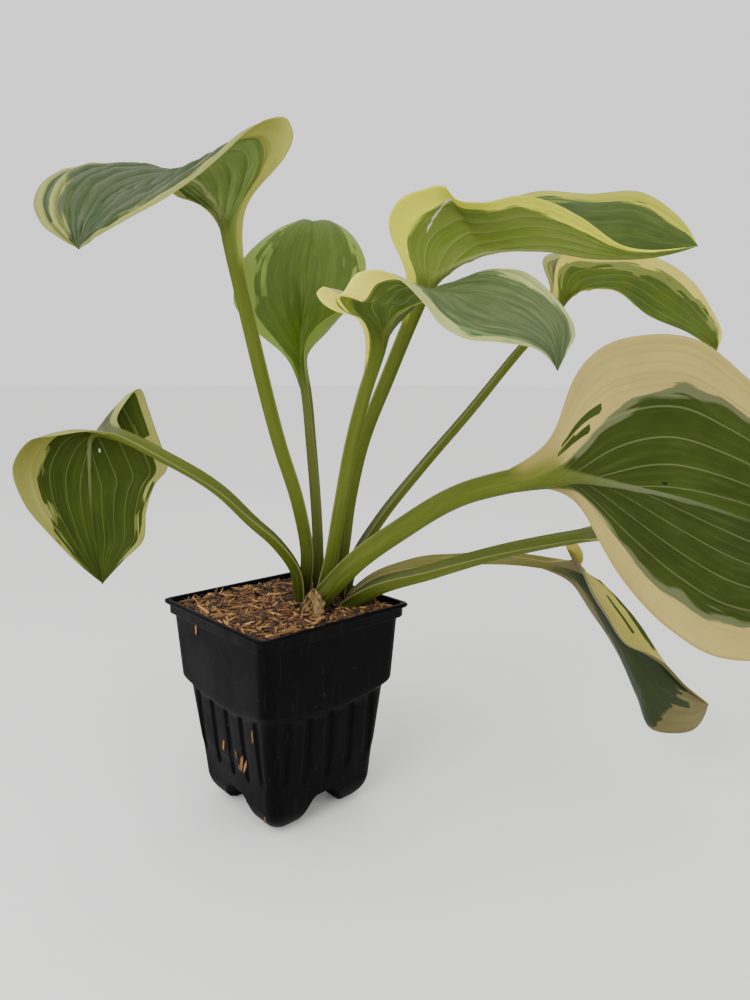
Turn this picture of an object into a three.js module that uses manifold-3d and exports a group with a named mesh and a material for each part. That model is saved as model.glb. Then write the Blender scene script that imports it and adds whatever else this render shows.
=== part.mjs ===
// A potted hosta: nine long-stalked leaves with waved, veined blades grow from a crown buried in
// potting mix. The square nursery pot has a flat lip, a collar, an arched shoulder, fluted lower
// walls and four feet. Sizes are millimetres, Z is up and the feet stand at z = 0.

import * as THREE from "three";
import { mergeVertices } from "three/addons/utils/BufferGeometryUtils.js";
import Module from "manifold-3d";

const wasm = await Module();
wasm.setup();

// Driving dimensions

const LIP = { half: 57, corner: 4, bottom: 132, top: 134.5 };
const COLLAR = { half: 55, corner: 5, bottom: 125.4 };
const WALL = 1.2;
const MIX_CLEARANCE = 0.3;

// Rings of the pot's walls from the top down: half width, corner radius and height
const UPPER_WALL = [
  { half: 53, corner: 7, z: 128 },
  { half: 50.2, corner: 8, z: 70 },
];
const LOWER_WALL = [
  { half: 47.4, corner: 8, z: 87 },
  { half: 40, corner: 8, z: 14 },
  { half: 38.6, corner: 8, z: 8 },
  { half: 36.6, corner: 8, z: 4 },
  { half: 33.4, corner: 7, z: 1.2 },
  { half: 30, corner: 5, z: 0 },
];

// The shoulder's edge hangs lowest in the middle of each face
const SHOULDER = { middle: 78, rise: 6, reach: 47, face: 50.4, inner: 42, outer: 64 };
const FLUTE = { width: 5, depth: 2, sides: 6, top: 79, bottom: 31, offsets: [-33, -16.5, 0, 16.5, 33] };
// Half of the arch between two feet: distance from the middle of the face and height
const ARCH = [[24.5, -3], [22, 1], [19, 4.2], [16.5, 9], [12.5, 14], [8, 20]];
const DRAIN = { radius: 4, spacing: 20, bottom: 14, top: 26, sides: 12 };

const MIX_TOP = 127.6;
const CHIPS = { count: 54, spread: 50, length: [8, 22], radius: [1.5, 2.8], taper: 0.45, seed: 7 };

const PLANT_TURN = THREE.MathUtils.degToRad(-42.4);
const CROWN = { x: 24, y: 10, radius: 23.4, bottom: 97, top: 111.7, sides: 18 };
const SHEET = 0.8;
const KEEL = 0.72;
const VEIN_RELIEF = 0.55;
const STALK_COLUMNS = 4;
const STALK_ROWS = 7;
const BLADE_ROWS = 11;
const EVEN_OUT = { rows: 4, passes: 6, weight: 0.5 };
const HOLE_CLEARANCE = 0.55;

const BRACT = {
  thickness: 0.8,
  columns: 2,
  curl: 1.6,
  rows: [
    { z: 121, x: 17.5, y: -22, half: 3.2 },
    { z: 127, x: 17.2, y: -22, half: 5 },
    { z: 134, x: 17.4, y: -21.6, half: 6.6 },
    { z: 141, x: 18.6, y: -21, half: 4.6 },
    { z: 147, x: 20, y: -20.4, half: 2 },
  ],
};

// Each leaf's route, from the foot of its stalk to its tip, in the plant's own axes. The rib and
// both margins are listed from the stalk's top to the tip, and left and right are seen from above
// with the tip ahead. The bow is how far each half blade arches between rib and margin, as a share
// of its width, at four places along the blade.
const LEAVES = [
  {
    name: "leaf_upper_left", veins: 6,
    width: [8.5, 7.8], channel: 0.22, open: [1, 0.3, 0],
    bow: [[0, 0, 0, 0.03], [0, 0.03, 0.04, 0.04]],
    stalk: [[15, 18, 112], [14, 18, 135], [16, 13, 162], [11, 8, 196], [-1, 3, 238], [-10, 0, 275],
      [-19, -3, 316]],
    rib: [[-28, -4, 358], [-33, -4, 372], [-42, -4, 385], [-55, -3, 393], [-75, -4, 392],
      [-98, -10, 378], [-114, -18, 349]],
    left: [[-23, -8, 367], [-15, -16, 378], [-3, -26, 386], [8, -34, 395], [13, -39, 405],
      [10, -42, 412], [0, -44, 411], [-9, -45, 406], [-22, -45, 395], [-37, -45, 383],
      [-55, -43, 372], [-79, -36, 362], [-100, -27, 354]],
    right: [[-36, 2, 368], [-52, 18, 382], [-68, 34, 389], [-83, 46, 400], [-102, 46, 410],
      [-121, 42, 410], [-142, 30, 403], [-149, 18, 392], [-150, 10, 380], [-143, 2, 367],
      [-129, -8, 357]],
  },
  {
    name: "leaf_back", veins: 5,
    width: [8, 6.2], channel: 0.22, open: [0, -1, 0],
    bow: [[0.05, 0.1, 0.12, 0.1], [-0.5, -0.1, 0.12, 0.1]],
    stalk: [[20, 23, 112], [20, 22, 134], [19, 27, 171], [14, 33, 235], [11, 36, 265]],
    rib: [[8, 38, 284], [8, 41, 301], [11, 50, 336], [13, 66, 366], [13, 90, 386], [14, 120, 374]],
    left: [[3, 35, 288], [-11, 30, 298], [-24, 24, 310], [-32, 22, 322], [-33, 26, 332],
      [-31, 38, 348], [-19, 56, 367], [-1, 80, 383], [7, 104, 387]],
    right: [[10, 30, 289], [11, 20, 297], [18, 14, 306], [27, 10, 313], [38, 12, 319], [46, 26, 332],
      [51, 44, 349], [45, 62, 367], [32, 84, 382], [21, 106, 386]],
  },
  {
    name: "leaf_hanging_left", veins: 5,
    width: [8, 6.2], channel: 0.3, open: [1, 0.2, 0],
    bow: [[0.05, 0.05, 0.05, 0.05], [0.05, 0.05, 0.05, 0.05]],
    stalk: [[9, 7, 112], [11, 7, 135], [10, 5, 151], [-2, -4, 174], [-16, -14, 190], [-35, -30, 213],
      [-61, -42, 232], [-86, -34, 243]],
    rib: [[-107, -16, 246], [-116, -8, 240], [-119, -6, 219], [-118, -8, 185], [-112, -14, 149]],
    left: [[-116, -14, 247], [-128, -22, 246], [-144, -26, 242], [-156, -28, 224], [-153, -26, 204],
      [-139, -22, 181], [-121, -18, 159]],
    right: [[-102, -10, 251], [-97, -2, 259], [-89, 4, 268], [-86, 7, 259], [-81, 6, 245],
      [-76, 4, 231], [-73, 2, 220], [-80, -2, 210], [-85, -6, 194], [-87, -10, 175],
      [-97, -13, 165]],
  },
  {
    name: "leaf_centre", veins: 5,
    width: [8.5, 7], channel: 0.22, open: [-1, 0.5, 0],
    bow: [[0.05, 0.05, 0.06, 0.05], [0.05, -0.03, 0.03, 0.05]],
    stalk: [[23, 11, 112], [22, 9, 139], [27, 5, 160], [34, -3, 198], [42, -11, 239], [51, -18, 272]],
    rib: [[59, -25, 295], [62, -29, 303], [71, -34, 314], [87, -36, 320], [110, -36, 322],
      [135, -36, 317], [154, -36, 303], [161, -36, 281]],
    left: [[65, -18, 302], [78, -11, 315], [96, 0, 330], [112, 6, 335], [129, 10, 342],
      [145, 4, 341], [161, -6, 328], [174, -20, 302], [167, -30, 291]],
    right: [[54, -30, 299], [51, -40, 306], [44, -54, 312], [34, -64, 310], [27, -70, 319],
      [31, -74, 322], [39, -76, 318], [48, -78, 328], [62, -80, 329], [72, -82, 323],
      [81, -83, 314], [90, -82, 303], [101, -79, 297], [122, -70, 295], [147, -52, 291]],
  },
  {
    name: "leaf_upper_right", veins: 6,
    width: [9, 8], channel: 0.22, open: [-1, -0.3, 0],
    bow: [[0.05, 0.05, 0.05, 0.05], [0.08, 0.05, 0.05, 0]],
    stalk: [[27, 20, 112], [28, 19, 136], [33, 16, 161], [38, 14, 198], [47, 11, 237], [64, 8, 280]],
    rib: [[83, 4, 326], [93, 4, 335], [119, 7, 350], [159, 16, 355], [199, 26, 352], [236, 32, 354],
      [264, 34, 361]],
    left: [[87, 12, 334], [99, 40, 359], [127, 58, 384], [166, 70, 402], [205, 76, 402],
      [237, 70, 402], [258, 54, 383]],
    right: [[81, 0, 337], [73, -8, 347], [63, -14, 356], [63, -18, 369], [70, -20, 377],
      [82, -21, 381], [96, -22, 383], [102, -24, 376], [116, -24, 374], [138, -18, 379],
      [157, -10, 378], [179, 2, 372], [213, 20, 358]],
  },
  {
    name: "leaf_far_right", veins: 6,
    width: [8, 5.8], channel: 0.22, open: [-1, -0.6, 0],
    bow: [[0.05, 0.05, 0.05, 0.05], [0.05, 0.05, 0.05, 0.05]],
    stalk: [[36, 21, 112], [36, 23, 135], [42, 30, 154], [60, 42, 182], [86, 60, 212], [124, 78, 254],
      [165, 100, 301]],
    rib: [[196, 118, 332], [213, 124, 343], [240, 130, 345], [272, 134, 326], [305, 136, 313],
      [327, 136, 299]],
    left: [[194, 128, 344], [190, 142, 357], [188, 150, 370], [201, 160, 376], [241, 172, 371],
      [284, 172, 349], [313, 158, 328]],
    right: [[192, 112, 342], [187, 102, 355], [190, 94, 366], [217, 88, 365], [257, 88, 362],
      [285, 92, 347], [307, 102, 325], [323, 120, 309]],
  },
  {
    name: "leaf_front_right", veins: 6,
    width: [13, 11], channel: 0.22, open: [0, 1, 0],
    bow: [[0.06, 0.08, 0.08, 0.05], [0.06, 0.08, 0.08, 0.05]],
    stalk: [[22, -3, 112], [23, -4, 136], [33, -12, 151], [46, -22, 167], [73, -44, 192],
      [106, -72, 217], [127, -90, 226]],
    rib: [[141, -102, 231], [151, -108, 231], [168, -113, 228], [188, -116, 224], [234, -120, 211],
      [271, -116, 197], [312, -104, 174]],
    left: [[154, -102, 223], [166, -98, 203], [187, -92, 172], [212, -90, 147], [238, -90, 132],
      [263, -92, 131], [288, -96, 141], [305, -100, 158]],
    right: [[143, -108, 242], [144, -114, 255], [145, -122, 274], [153, -128, 288], [172, -134, 295],
      [193, -138, 294], [219, -140, 276], [253, -134, 247], [290, -118, 207]],
  },
  {
    name: "leaf_low_front", veins: 5,
    width: [11.5, 7], channel: 0.22, open: [-1, 0.4, 0],
    bow: [[0.05, 0.05, 0.05, 0.05], [0.05, 0.05, 0.05, 0.05]],
    stalk: [[36, -1, 112], [37, -2, 133], [50, -6, 144], [92, -18, 161], [132, -32, 176],
      [160, -44, 185]],
    rib: [[189, -56, 193], [206, -62, 197], [231, -64, 186], [252, -64, 161], [262, -62, 134]],
    left: [[198, -50, 200], [214, -38, 216], [244, -26, 217], [272, -30, 188], [275, -44, 155]],
    right: [[193, -62, 186], [202, -78, 170], [220, -84, 151], [240, -80, 139]],
  },
  {
    name: "leaf_folded_low", veins: 5,
    width: [10, 7], channel: 0.25, open: [-1, 0, 0],
    bow: [[0.1, 0.1, 0.1, 0.05], [0.1, 0.1, 0.1, 0.05]],
    stalk: [[38, 11, 112], [38, 10, 130], [52, 8, 146], [81, 8, 157], [113, 12, 159], [154, 16, 157]],
    rib: [[186, 20, 151], [201, 23, 145], [230, 24, 120], [249, 16, 93], [266, 12, 72], [282, 8, 61]],
    left: [[196, 12, 159], [193, 8, 169], [181, 6, 178], [181, 14, 171], [189, 0, 159],
      [195, -10, 144], [203, -14, 131], [216, -16, 112], [232, -12, 104], [245, -4, 95],
      [266, 4, 74]],
    right: [[193, 28, 138], [209, 40, 115], [221, 46, 99], [232, 44, 81], [242, 32, 56], [249, 18, 38],
      [260, 10, 39], [273, 6, 44], [279, 6, 53]],
  },
];

// Curves

const vector = (values) => new THREE.Vector3(...values);
const clamp = THREE.MathUtils.clamp;
const lerp = THREE.MathUtils.lerp;

/** A smooth curve through the points, run by its share of length from 0 to 1. */
function smoothCurve(points) {
  const last = points.length - 1;
  const steps = [];
  for (let i = 0; i < last; i += 1) {
    steps.push(points[i].distanceTo(points[i + 1]));
  }
  const total = steps.reduce((sum, step) => sum + step, 0);
  const shares = steps.map((step) => step / total);
  const knots = [0];
  shares.forEach((share, i) => knots.push(knots[i] + share));

  const slopes = shares.map((share, i) => points[i + 1].clone().sub(points[i]).divideScalar(share));
  const tangents = points.map(() => new THREE.Vector3());
  for (let i = 1; i < last; i += 1) {
    tangents[i].addScaledVector(slopes[i - 1], shares[i]).addScaledVector(slopes[i], shares[i - 1]);
    tangents[i].divideScalar(shares[i - 1] + shares[i]);
  }
  tangents[0].addScaledVector(slopes[0], 1.5).addScaledVector(tangents[1], -0.5);
  tangents[last].addScaledVector(slopes[last - 1], 1.5).addScaledVector(tangents[last - 1], -0.5);

  return (share) => {
    let i = 0;
    while (i < last - 1 && share >= knots[i + 1]) {
      i += 1;
    }
    const t = (share - knots[i]) / shares[i];
    const ease = t * t * (3 - 2 * t);
    const point = points[i].clone().multiplyScalar(1 - ease).addScaledVector(points[i + 1], ease);
    point.addScaledVector(tangents[i], shares[i] * t * (1 - t) * (1 - t));
    point.addScaledVector(tangents[i + 1], -shares[i] * t * t * (1 - t));
    return point;
  };
}

function directionOf(curve, share) {
  const step = 0.001;
  const ahead = curve(Math.min(share + step, 1));
  return ahead.sub(curve(Math.max(share - step, 0))).normalize();
}

/** A value given at four places along the blade, read between them. */
function alongBlade(values, s) {
  const places = [0, 0.25, 0.6, 1];
  const i = s < places[1] ? 0 : s < places[2] ? 1 : 2;
  return lerp(values[i], values[i + 1], (s - places[i]) / (places[i + 1] - places[i]));
}

// Leaves

/** The stalk and the blade of one leaf as surfaces: across runs from -1 at the left to 1 at the right. */
function leafSurface(leaf) {
  const rib = smoothCurve(leaf.rib.map(vector));
  const joint = vector(leaf.rib[0]);
  const tip = vector(leaf.rib[leaf.rib.length - 1]);
  const stalk = smoothCurve([...leaf.stalk.map(vector), joint]);
  const [footWidth, topWidth] = leaf.width;
  const ribStart = directionOf(rib, 0);

  const jointAlong = directionOf(stalk, 1).add(ribStart).normalize();
  const jointAcross = vector(leaf.right[0]).sub(vector(leaf.left[0]));
  jointAcross.addScaledVector(jointAlong, -jointAcross.dot(jointAlong)).normalize();
  const jointUp = jointAcross.clone().cross(jointAlong);
  const footAcross = directionOf(stalk, 0).cross(vector(leaf.open)).normalize();

  const jointLift = topWidth * leaf.channel;
  const margins = [-1, 1].map((side) => {
    const start = joint.clone().addScaledVector(jointAcross, (side * topWidth) / 2);
    start.addScaledVector(jointUp, jointLift / 2);
    const points = (side < 0 ? leaf.left : leaf.right).map(vector);
    return smoothCurve([start, ...points, tip]);
  });

  /** The stalk's centre, axes and width at a share of its length. */
  function stalkAt(u) {
    const bend = 0.5 * clamp((u - 0.85) / 0.15, 0, 1) ** 2;
    const along = directionOf(stalk, u).lerp(ribStart, bend).normalize();
    const across = footAcross.clone().lerp(jointAcross, u * u * (3 - 2 * u));
    across.addScaledVector(along, -across.dot(along)).normalize();
    const up = across.clone().cross(along);
    const width = topWidth + (footWidth - topWidth) * (1 - u) ** 1.5;
    return { centre: stalk(u), across, up, width };
  }

  function stalkPoint(u, across) {
    const at = stalkAt(u);
    const lift = at.width * (0.12 + (leaf.channel - 0.12) * u ** 3);
    const point = at.centre.addScaledVector(at.across, (at.width / 2) * Math.sin((across * Math.PI) / 2));
    return point.addScaledVector(at.up, lift * (across * across - 0.5));
  }

  /** How far out from the rib a column lies at s: close to a channel at the joint, then even. */
  function spreadOf(s, share) {
    const start = Math.sin((share * Math.PI) / 2);
    return lerp(start, share ** (1 + 0.8 * (1 - s) ** 3), clamp(s / 0.05, 0, 1));
  }

  function bladePoint(s, across) {
    const isLeft = across < 0;
    const share = Math.abs(across);
    const centre = rib(s);
    const chord = margins[isLeft ? 0 : 1](s ** 0.8).sub(centre);
    const along = directionOf(rib, s);
    const facing = isLeft ? along.cross(chord) : chord.clone().cross(along);
    const up = jointUp.clone().lerp(facing.normalize(), clamp(s / 0.12, 0, 1)).normalize();
    const f = spreadOf(s, share);
    const bow = alongBlade(leaf.bow[isLeft ? 0 : 1], s) * clamp(s / 0.1, 0, 1);
    const arch = bow * chord.length() * 4 * f * (1 - f) * (1 + 0.35 * (2 * f - 1));
    const nearJoint = 1 - clamp(s / 0.06, 0, 1);
    const channel = jointLift * (share * share - 0.5 - 0.5 * f) * nearJoint;
    return centre.addScaledVector(chord, f).addScaledVector(up, arch + channel);
  }

  /** Distance from the rib to a column, for the keel below it. */
  function reachAt(s, across) {
    const margin = margins[across < 0 ? 0 : 1](s ** 0.8);
    return margin.distanceTo(rib(s)) * spreadOf(s, Math.abs(across));
  }

  return { stalkAt, stalkPoint, bladePoint, reachAt, footWidth, topWidth };
}

/** The rows of points on a leaf's upper face, each with its thickness and its vein relief. */
function leafRows(leaf, surface) {
  const rows = [];
  for (let i = 0; i <= STALK_ROWS; i += 1) {
    const u = i / STALK_ROWS;
    const { up, width } = surface.stalkAt(u);
    const row = [];
    for (let j = -STALK_COLUMNS; j <= STALK_COLUMNS; j += 1) {
      const across = j / STALK_COLUMNS;
      const keel = KEEL * width * Math.cos((across * Math.PI) / 2);
      const point = surface.stalkPoint(u, across);
      row.push({ across, point, facing: up, thickness: SHEET + keel, relief: 0 });
    }
    rows.push(row);
  }

  const columns = 2 * leaf.veins;
  for (let i = 1; i < BLADE_ROWS; i += 1) {
    const s = (i / BLADE_ROWS) ** 1.6;
    const keelHeight = KEEL * surface.topWidth * (1 - s) ** 2;
    const keelHalf = (surface.topWidth / 2) * (1 - s) ** 0.6;
    const veinHeight = VEIN_RELIEF * Math.min(1, 4 * s) * Math.min(1, 4 * (1 - s));
    const row = [];
    for (let j = -columns; j <= columns; j += 1) {
      const across = j / columns;
      const beside = Math.min(1, surface.reachAt(s, across) / keelHalf);
      const thickness = SHEET + keelHeight * Math.sqrt(1 - beside * beside);
      const isInside = Math.abs(j) > 0 && Math.abs(j) < columns;
      const relief = isInside ? veinHeight * (j % 2 === 0 ? -1 : 1) : 0;
      row.push({ across, point: surface.bladePoint(s, across), thickness, relief });
    }
    rows.push(row);
  }
  rows.push([{ across: 0, point: surface.bladePoint(1, 0), thickness: SHEET, relief: 0 }]);
  evenOut(rows);
  return rows;
}

/** Spreads the crowded points beside the joint, so that the folded lobes stay clear of the stalk. */
function evenOut(rows) {
  const pointAt = (row, across) => {
    const place = ((across + 1) / 2) * (row.length - 1);
    const index = Math.min(Math.floor(place), row.length - 2);
    return row[index].point.clone().lerp(row[index + 1].point, place - index);
  };
  for (let pass = 0; pass < EVEN_OUT.passes; pass += 1) {
    for (let i = STALK_ROWS + 1; i <= STALK_ROWS + EVEN_OUT.rows; i += 1) {
      const weight = EVEN_OUT.weight * (1 - (i - STALK_ROWS - 1) / EVEN_OUT.rows);
      const eased = rows[i].map(({ across, point }, j) => {
        const average = pointAt(rows[i - 1], across).add(pointAt(rows[i + 1], across));
        const isInside = j > 0 && j < rows[i].length - 1;
        if (isInside) {
          average.add(rows[i][j - 1].point).add(rows[i][j + 1].point);
        }
        return point.clone().lerp(average.divideScalar(isInside ? 4 : 2), weight);
      });
      rows[i].forEach((vertex, j) => {
        vertex.point = eased[j];
      });
    }
  }
}

/** Triangles of the strip between two rows, which may have different numbers of points. */
function strip(near, far) {
  const triangles = [];
  let i = 0;
  let j = 0;
  while (i < near.length - 1 || j < far.length - 1) {
    const nearStep = i < near.length - 1 ? near[i + 1].across : Infinity;
    const farStep = j < far.length - 1 ? far[j + 1].across : Infinity;
    let movesNear = nearStep < farStep;
    if (Number.isFinite(nearStep) && Math.abs(nearStep - farStep) < 1e-6) {
      const nearFirst = near[i + 1].point.distanceTo(far[j].point);
      movesNear = nearFirst < near[i].point.distanceTo(far[j + 1].point);
    }
    if (movesNear) {
      triangles.push([near[i], near[i + 1], far[j]]);
      i += 1;
    } else {
      triangles.push([near[i], far[j + 1], far[j]]);
      j += 1;
    }
  }
  return triangles;
}

/** A closed blade from its rows of upper points: a lower face, edges and a foot cut level. */
function bladeGeometry(rows, footLevel) {
  const vertices = rows.flat();
  const strips = [];
  for (let i = 1; i < rows.length; i += 1) {
    strips.push(...strip(rows[i - 1], rows[i]));
  }

  vertices.forEach((vertex) => {
    vertex.normal = new THREE.Vector3();
  });
  for (const [a, b, c] of strips) {
    const face = b.point.clone().sub(a.point).cross(c.point.clone().sub(a.point));
    [a, b, c].forEach((vertex) => vertex.normal.add(face));
  }

  const count = vertices.length;
  const positions = new Float32Array(count * 6);
  vertices.forEach((vertex, index) => {
    vertex.index = index;
    const facing = vertex.facing ?? vertex.normal.normalize();
    const top = vertex.point.clone().addScaledVector(facing, vertex.relief);
    const bottom = top.clone().addScaledVector(facing, -vertex.thickness);
    if (rows[0].includes(vertex)) {
      top.setZ(footLevel);
      bottom.setZ(footLevel);
    }
    top.toArray(positions, index * 3);
    bottom.toArray(positions, (index + count) * 3);
  });

  const indices = [];
  for (const [a, b, c] of strips) {
    indices.push(a.index, b.index, c.index);
    indices.push(a.index + count, c.index + count, b.index + count);
  }
  const wall = (from, to) => {
    indices.push(from.index, from.index + count, to.index);
    indices.push(to.index, from.index + count, to.index + count);
  };
  for (let i = 1; i < rows.length; i += 1) {
    wall(rows[i][0], rows[i - 1][0]);
    wall(rows[i - 1].at(-1), rows[i].at(-1));
  }
  const [foot] = rows;
  for (let j = 1; j < foot.length; j += 1) {
    wall(foot[j - 1], foot[j]);
  }
  const end = rows.at(-1);
  for (let j = 1; j < end.length; j += 1) {
    wall(end[j], end[j - 1]);
  }

  const geometry = new THREE.BufferGeometry();
  geometry.setAttribute("position", new THREE.BufferAttribute(positions, 3));
  geometry.setIndex(indices);
  geometry.computeVertexNormals();
  return geometry;
}

/** A dry papery bract, curled about its length, that stands in the mix beside the stalks. */
function bractRows() {
  return BRACT.rows.map(({ x, y, z, half }) => {
    const row = [];
    for (let j = -BRACT.columns; j <= BRACT.columns; j += 1) {
      const across = j / BRACT.columns;
      const point = new THREE.Vector3(x + half * across, y + BRACT.curl * across * across, z);
      row.push({ across, point, thickness: BRACT.thickness, relief: 0 });
    }
    return row;
  });
}

// Solids

function solidFrom(geometry) {
  const bare = geometry.clone();
  bare.deleteAttribute("normal");
  bare.deleteAttribute("uv");
  const merged = mergeVertices(bare, 1e-4);
  const vertProperties = new Float32Array(merged.attributes.position.array);
  const triVerts = new Uint32Array(merged.index.array);
  return new wasm.Manifold(new wasm.Mesh({ numProp: 3, vertProperties, triVerts }));
}

function geometryFrom(solid) {
  const mesh = solid.getMesh();
  const geometry = new THREE.BufferGeometry();
  geometry.setAttribute("position", new THREE.BufferAttribute(mesh.vertProperties, 3));
  geometry.setIndex(new THREE.BufferAttribute(mesh.triVerts, 1));
  geometry.computeVertexNormals();
  return geometry;
}

function cut(solid, cutters) {
  return cutters.reduce((left, cutter) => left.subtract(cutter), solid);
}

/** A closed solid through rings of equally many points, each anticlockwise seen from the last ring. */
function loft(rings) {
  const size = rings[0].length;
  const positions = rings.flat().flatMap((point) => point.toArray());
  const indices = [];
  for (let i = 1; i < rings.length; i += 1) {
    for (let j = 0; j < size; j += 1) {
      const next = (j + 1) % size;
      const low = (i - 1) * size;
      const high = i * size;
      indices.push(low + j, low + next, high + j);
      indices.push(high + j, low + next, high + next);
    }
  }
  const end = (rings.length - 1) * size;
  for (let j = 2; j < size; j += 1) {
    indices.push(0, j, j - 1);
    indices.push(end, end + j - 1, end + j);
  }
  const geometry = new THREE.BufferGeometry();
  geometry.setAttribute("position", new THREE.Float32BufferAttribute(positions, 3));
  geometry.setIndex(indices);
  return solidFrom(geometry);
}

/** A square ring with rounded corners. */
function squareRing({ half, corner, z }, stepsPerCorner = 3) {
  const ring = [];
  for (let quarter = 0; quarter < 4; quarter += 1) {
    const facing = (quarter * Math.PI) / 2 + Math.PI / 4;
    const x = Math.SQRT2 * (half - corner) * Math.cos(facing);
    const y = Math.SQRT2 * (half - corner) * Math.sin(facing);
    for (let step = 0; step <= stepsPerCorner; step += 1) {
      const angle = facing - Math.PI / 4 + (step / stepsPerCorner) * (Math.PI / 2);
      ring.push(new THREE.Vector3(x + corner * Math.cos(angle), y + corner * Math.sin(angle), z));
    }
  }
  return ring;
}

/** A tube with its own radius at each place on its route. */
function tube(places, sides) {
  const widen = 1 / Math.cos(Math.PI / sides);
  return loft(places.map(({ centre, across, up, radius }) => {
    const ring = [];
    for (let side = 0; side < sides; side += 1) {
      const angle = (side / sides) * 2 * Math.PI;
      const point = centre.clone().addScaledVector(across, radius * widen * Math.cos(angle));
      ring.push(point.addScaledVector(up, radius * widen * Math.sin(angle)));
    }
    return ring;
  }));
}

function facesOf(cutter) {
  return [0, 90, 180, 270].map((turn) => cutter.rotate([0, 0, turn]));
}

// Pot

/** What lies below the shoulder's edge on one face, leaving the sloped underside of the step. */
function shoulderCutter(inset) {
  const segments = 8;
  const face = SHOULDER.face - inset;
  const ringAt = (x) => {
    const ring = [];
    for (let i = 0; i <= segments; i += 1) {
      const y = lerp(-LIP.half, LIP.half, i / segments);
      const edge = SHOULDER.middle + SHOULDER.rise * (y / SHOULDER.reach) ** 2;
      ring.push(new THREE.Vector3(x, y, edge + x - face));
    }
    ring.push(new THREE.Vector3(x, LIP.half, 30));
    ring.push(new THREE.Vector3(x, -LIP.half, 30));
    return ring.reverse();
  };
  return loft([ringAt(SHOULDER.inner - inset), ringAt(SHOULDER.outer)]);
}

/** A round-ended flute along one face, which leans with the wall. */
function fluteCutter(offset) {
  const [top, foot] = LOWER_WALL;
  const lean = (top.half - foot.half) / (top.z - foot.z);
  const radius = FLUTE.width / 2;
  const shallow = 0.8;
  const middle = 1 - Math.abs(offset) / FLUTE.offsets.at(-1);
  const bottom = FLUTE.bottom + 2.4 - 4.4 * middle;
  const levels = [
    [bottom - radius * 0.75, 0.45],
    [bottom - radius * 0.35, 0.85],
    [bottom + radius * 0.3, 1],
    [FLUTE.top + 4, 1],
  ];
  return tube(levels.map(([z, scale]) => ({
    centre: new THREE.Vector3(foot.half + lean * (z - foot.z) + radius * shallow - FLUTE.depth + 0.5, offset, z),
    across: new THREE.Vector3(0, 1, 0),
    up: new THREE.Vector3(-shallow, 0, 0),
    radius: radius * scale,
  })), FLUTE.sides);
}

/** The arched way that runs under the whole pot between its feet. */
function archCutter(inset) {
  const half = ARCH.map(([y, z]) => [y + inset, z + inset]);
  const outline = [...half, ...half.map(([y, z]) => [-y, z]).reverse()];
  const ringAt = (x) => outline.map(([y, z]) => new THREE.Vector3(x, y, z));
  return loft([ringAt(-COLLAR.half), ringAt(COLLAR.half)]);
}

/** The pot's outer form, or the form that lies a wall's thickness inside it. */
function potForm(inset) {
  const isInside = inset > 0;
  const drawIn = (rings, depth) => rings.map(({ half, corner, z }) => (
    squareRing({ half: half - depth, corner: corner - depth / 2, z }, isInside ? 2 : 3)
  ));
  const collarTop = isInside ? LIP.top + 10 : LIP.bottom;
  const collar = loft(drawIn([
    { ...COLLAR, z: COLLAR.bottom + inset },
    { ...COLLAR, z: collarTop },
  ], inset));
  const upper = cut(loft(drawIn(UPPER_WALL, inset).reverse()), facesOf(shoulderCutter(inset)));
  const lowerDepth = isInside ? inset + FLUTE.depth : 0;
  const raised = LOWER_WALL.map((ring) => ({ ...ring, z: Math.max(ring.z, ring.z * 0.9 + inset) }));
  const lower = loft(drawIn(isInside ? raised : LOWER_WALL, lowerDepth).reverse());
  const arches = [archCutter(inset), archCutter(inset).rotate([0, 0, 90])];
  const flutes = isInside ? [] : FLUTE.offsets.flatMap((offset) => facesOf(fluteCutter(offset)));
  return cut(lower, [...arches, ...flutes]).add(upper).add(collar);
}

function drainHoles() {
  const places = [[0, 0], [1, 0], [0, 1], [-1, 0], [0, -1]];
  return places.map(([x, y]) => tube([DRAIN.bottom, DRAIN.top].map((z) => ({
    centre: new THREE.Vector3(x * DRAIN.spacing, y * DRAIN.spacing, z),
    across: new THREE.Vector3(1, 0, 0),
    up: new THREE.Vector3(0, 1, 0),
    radius: DRAIN.radius,
  })), DRAIN.sides));
}

function buildPot() {
  const lip = loft([
    squareRing({ ...LIP, z: LIP.bottom }),
    squareRing({ ...LIP, z: LIP.top }),
  ]);
  return cut(potForm(0).add(lip), [potForm(WALL), ...drainHoles()]);
}

// Potting mix

/** A repeatable run of numbers between 0 and 1. */
function seededRandom(seed) {
  let state = seed;
  return () => {
    state = (state * 16807) % 2147483647;
    return state / 2147483647;
  };
}

/** Three-sided wood splinters, tapered to one end, that lie at odd angles half sunk in the mix. */
function chips() {
  const random = seededRandom(CHIPS.seed);
  const between = ([low, high]) => lerp(low, high, random());
  const solids = [];
  for (let i = 0; i < CHIPS.count; i += 1) {
    const radius = between(CHIPS.radius);
    const geometry = new THREE.CylinderGeometry(radius, radius * CHIPS.taper, between(CHIPS.length), 3);
    geometry.rotateZ(Math.PI / 2);
    geometry.rotateX(between([-0.5, 0.5]));
    geometry.rotateY(between([-0.16, 0.16]));
    geometry.rotateZ(between([0, Math.PI * 2]));
    const reach = [-CHIPS.spread, CHIPS.spread];
    geometry.translate(between(reach), between(reach), MIX_TOP + between([0.1, 0.7]));
    solids.push(solidFrom(geometry));
  }
  return solids;
}

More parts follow.
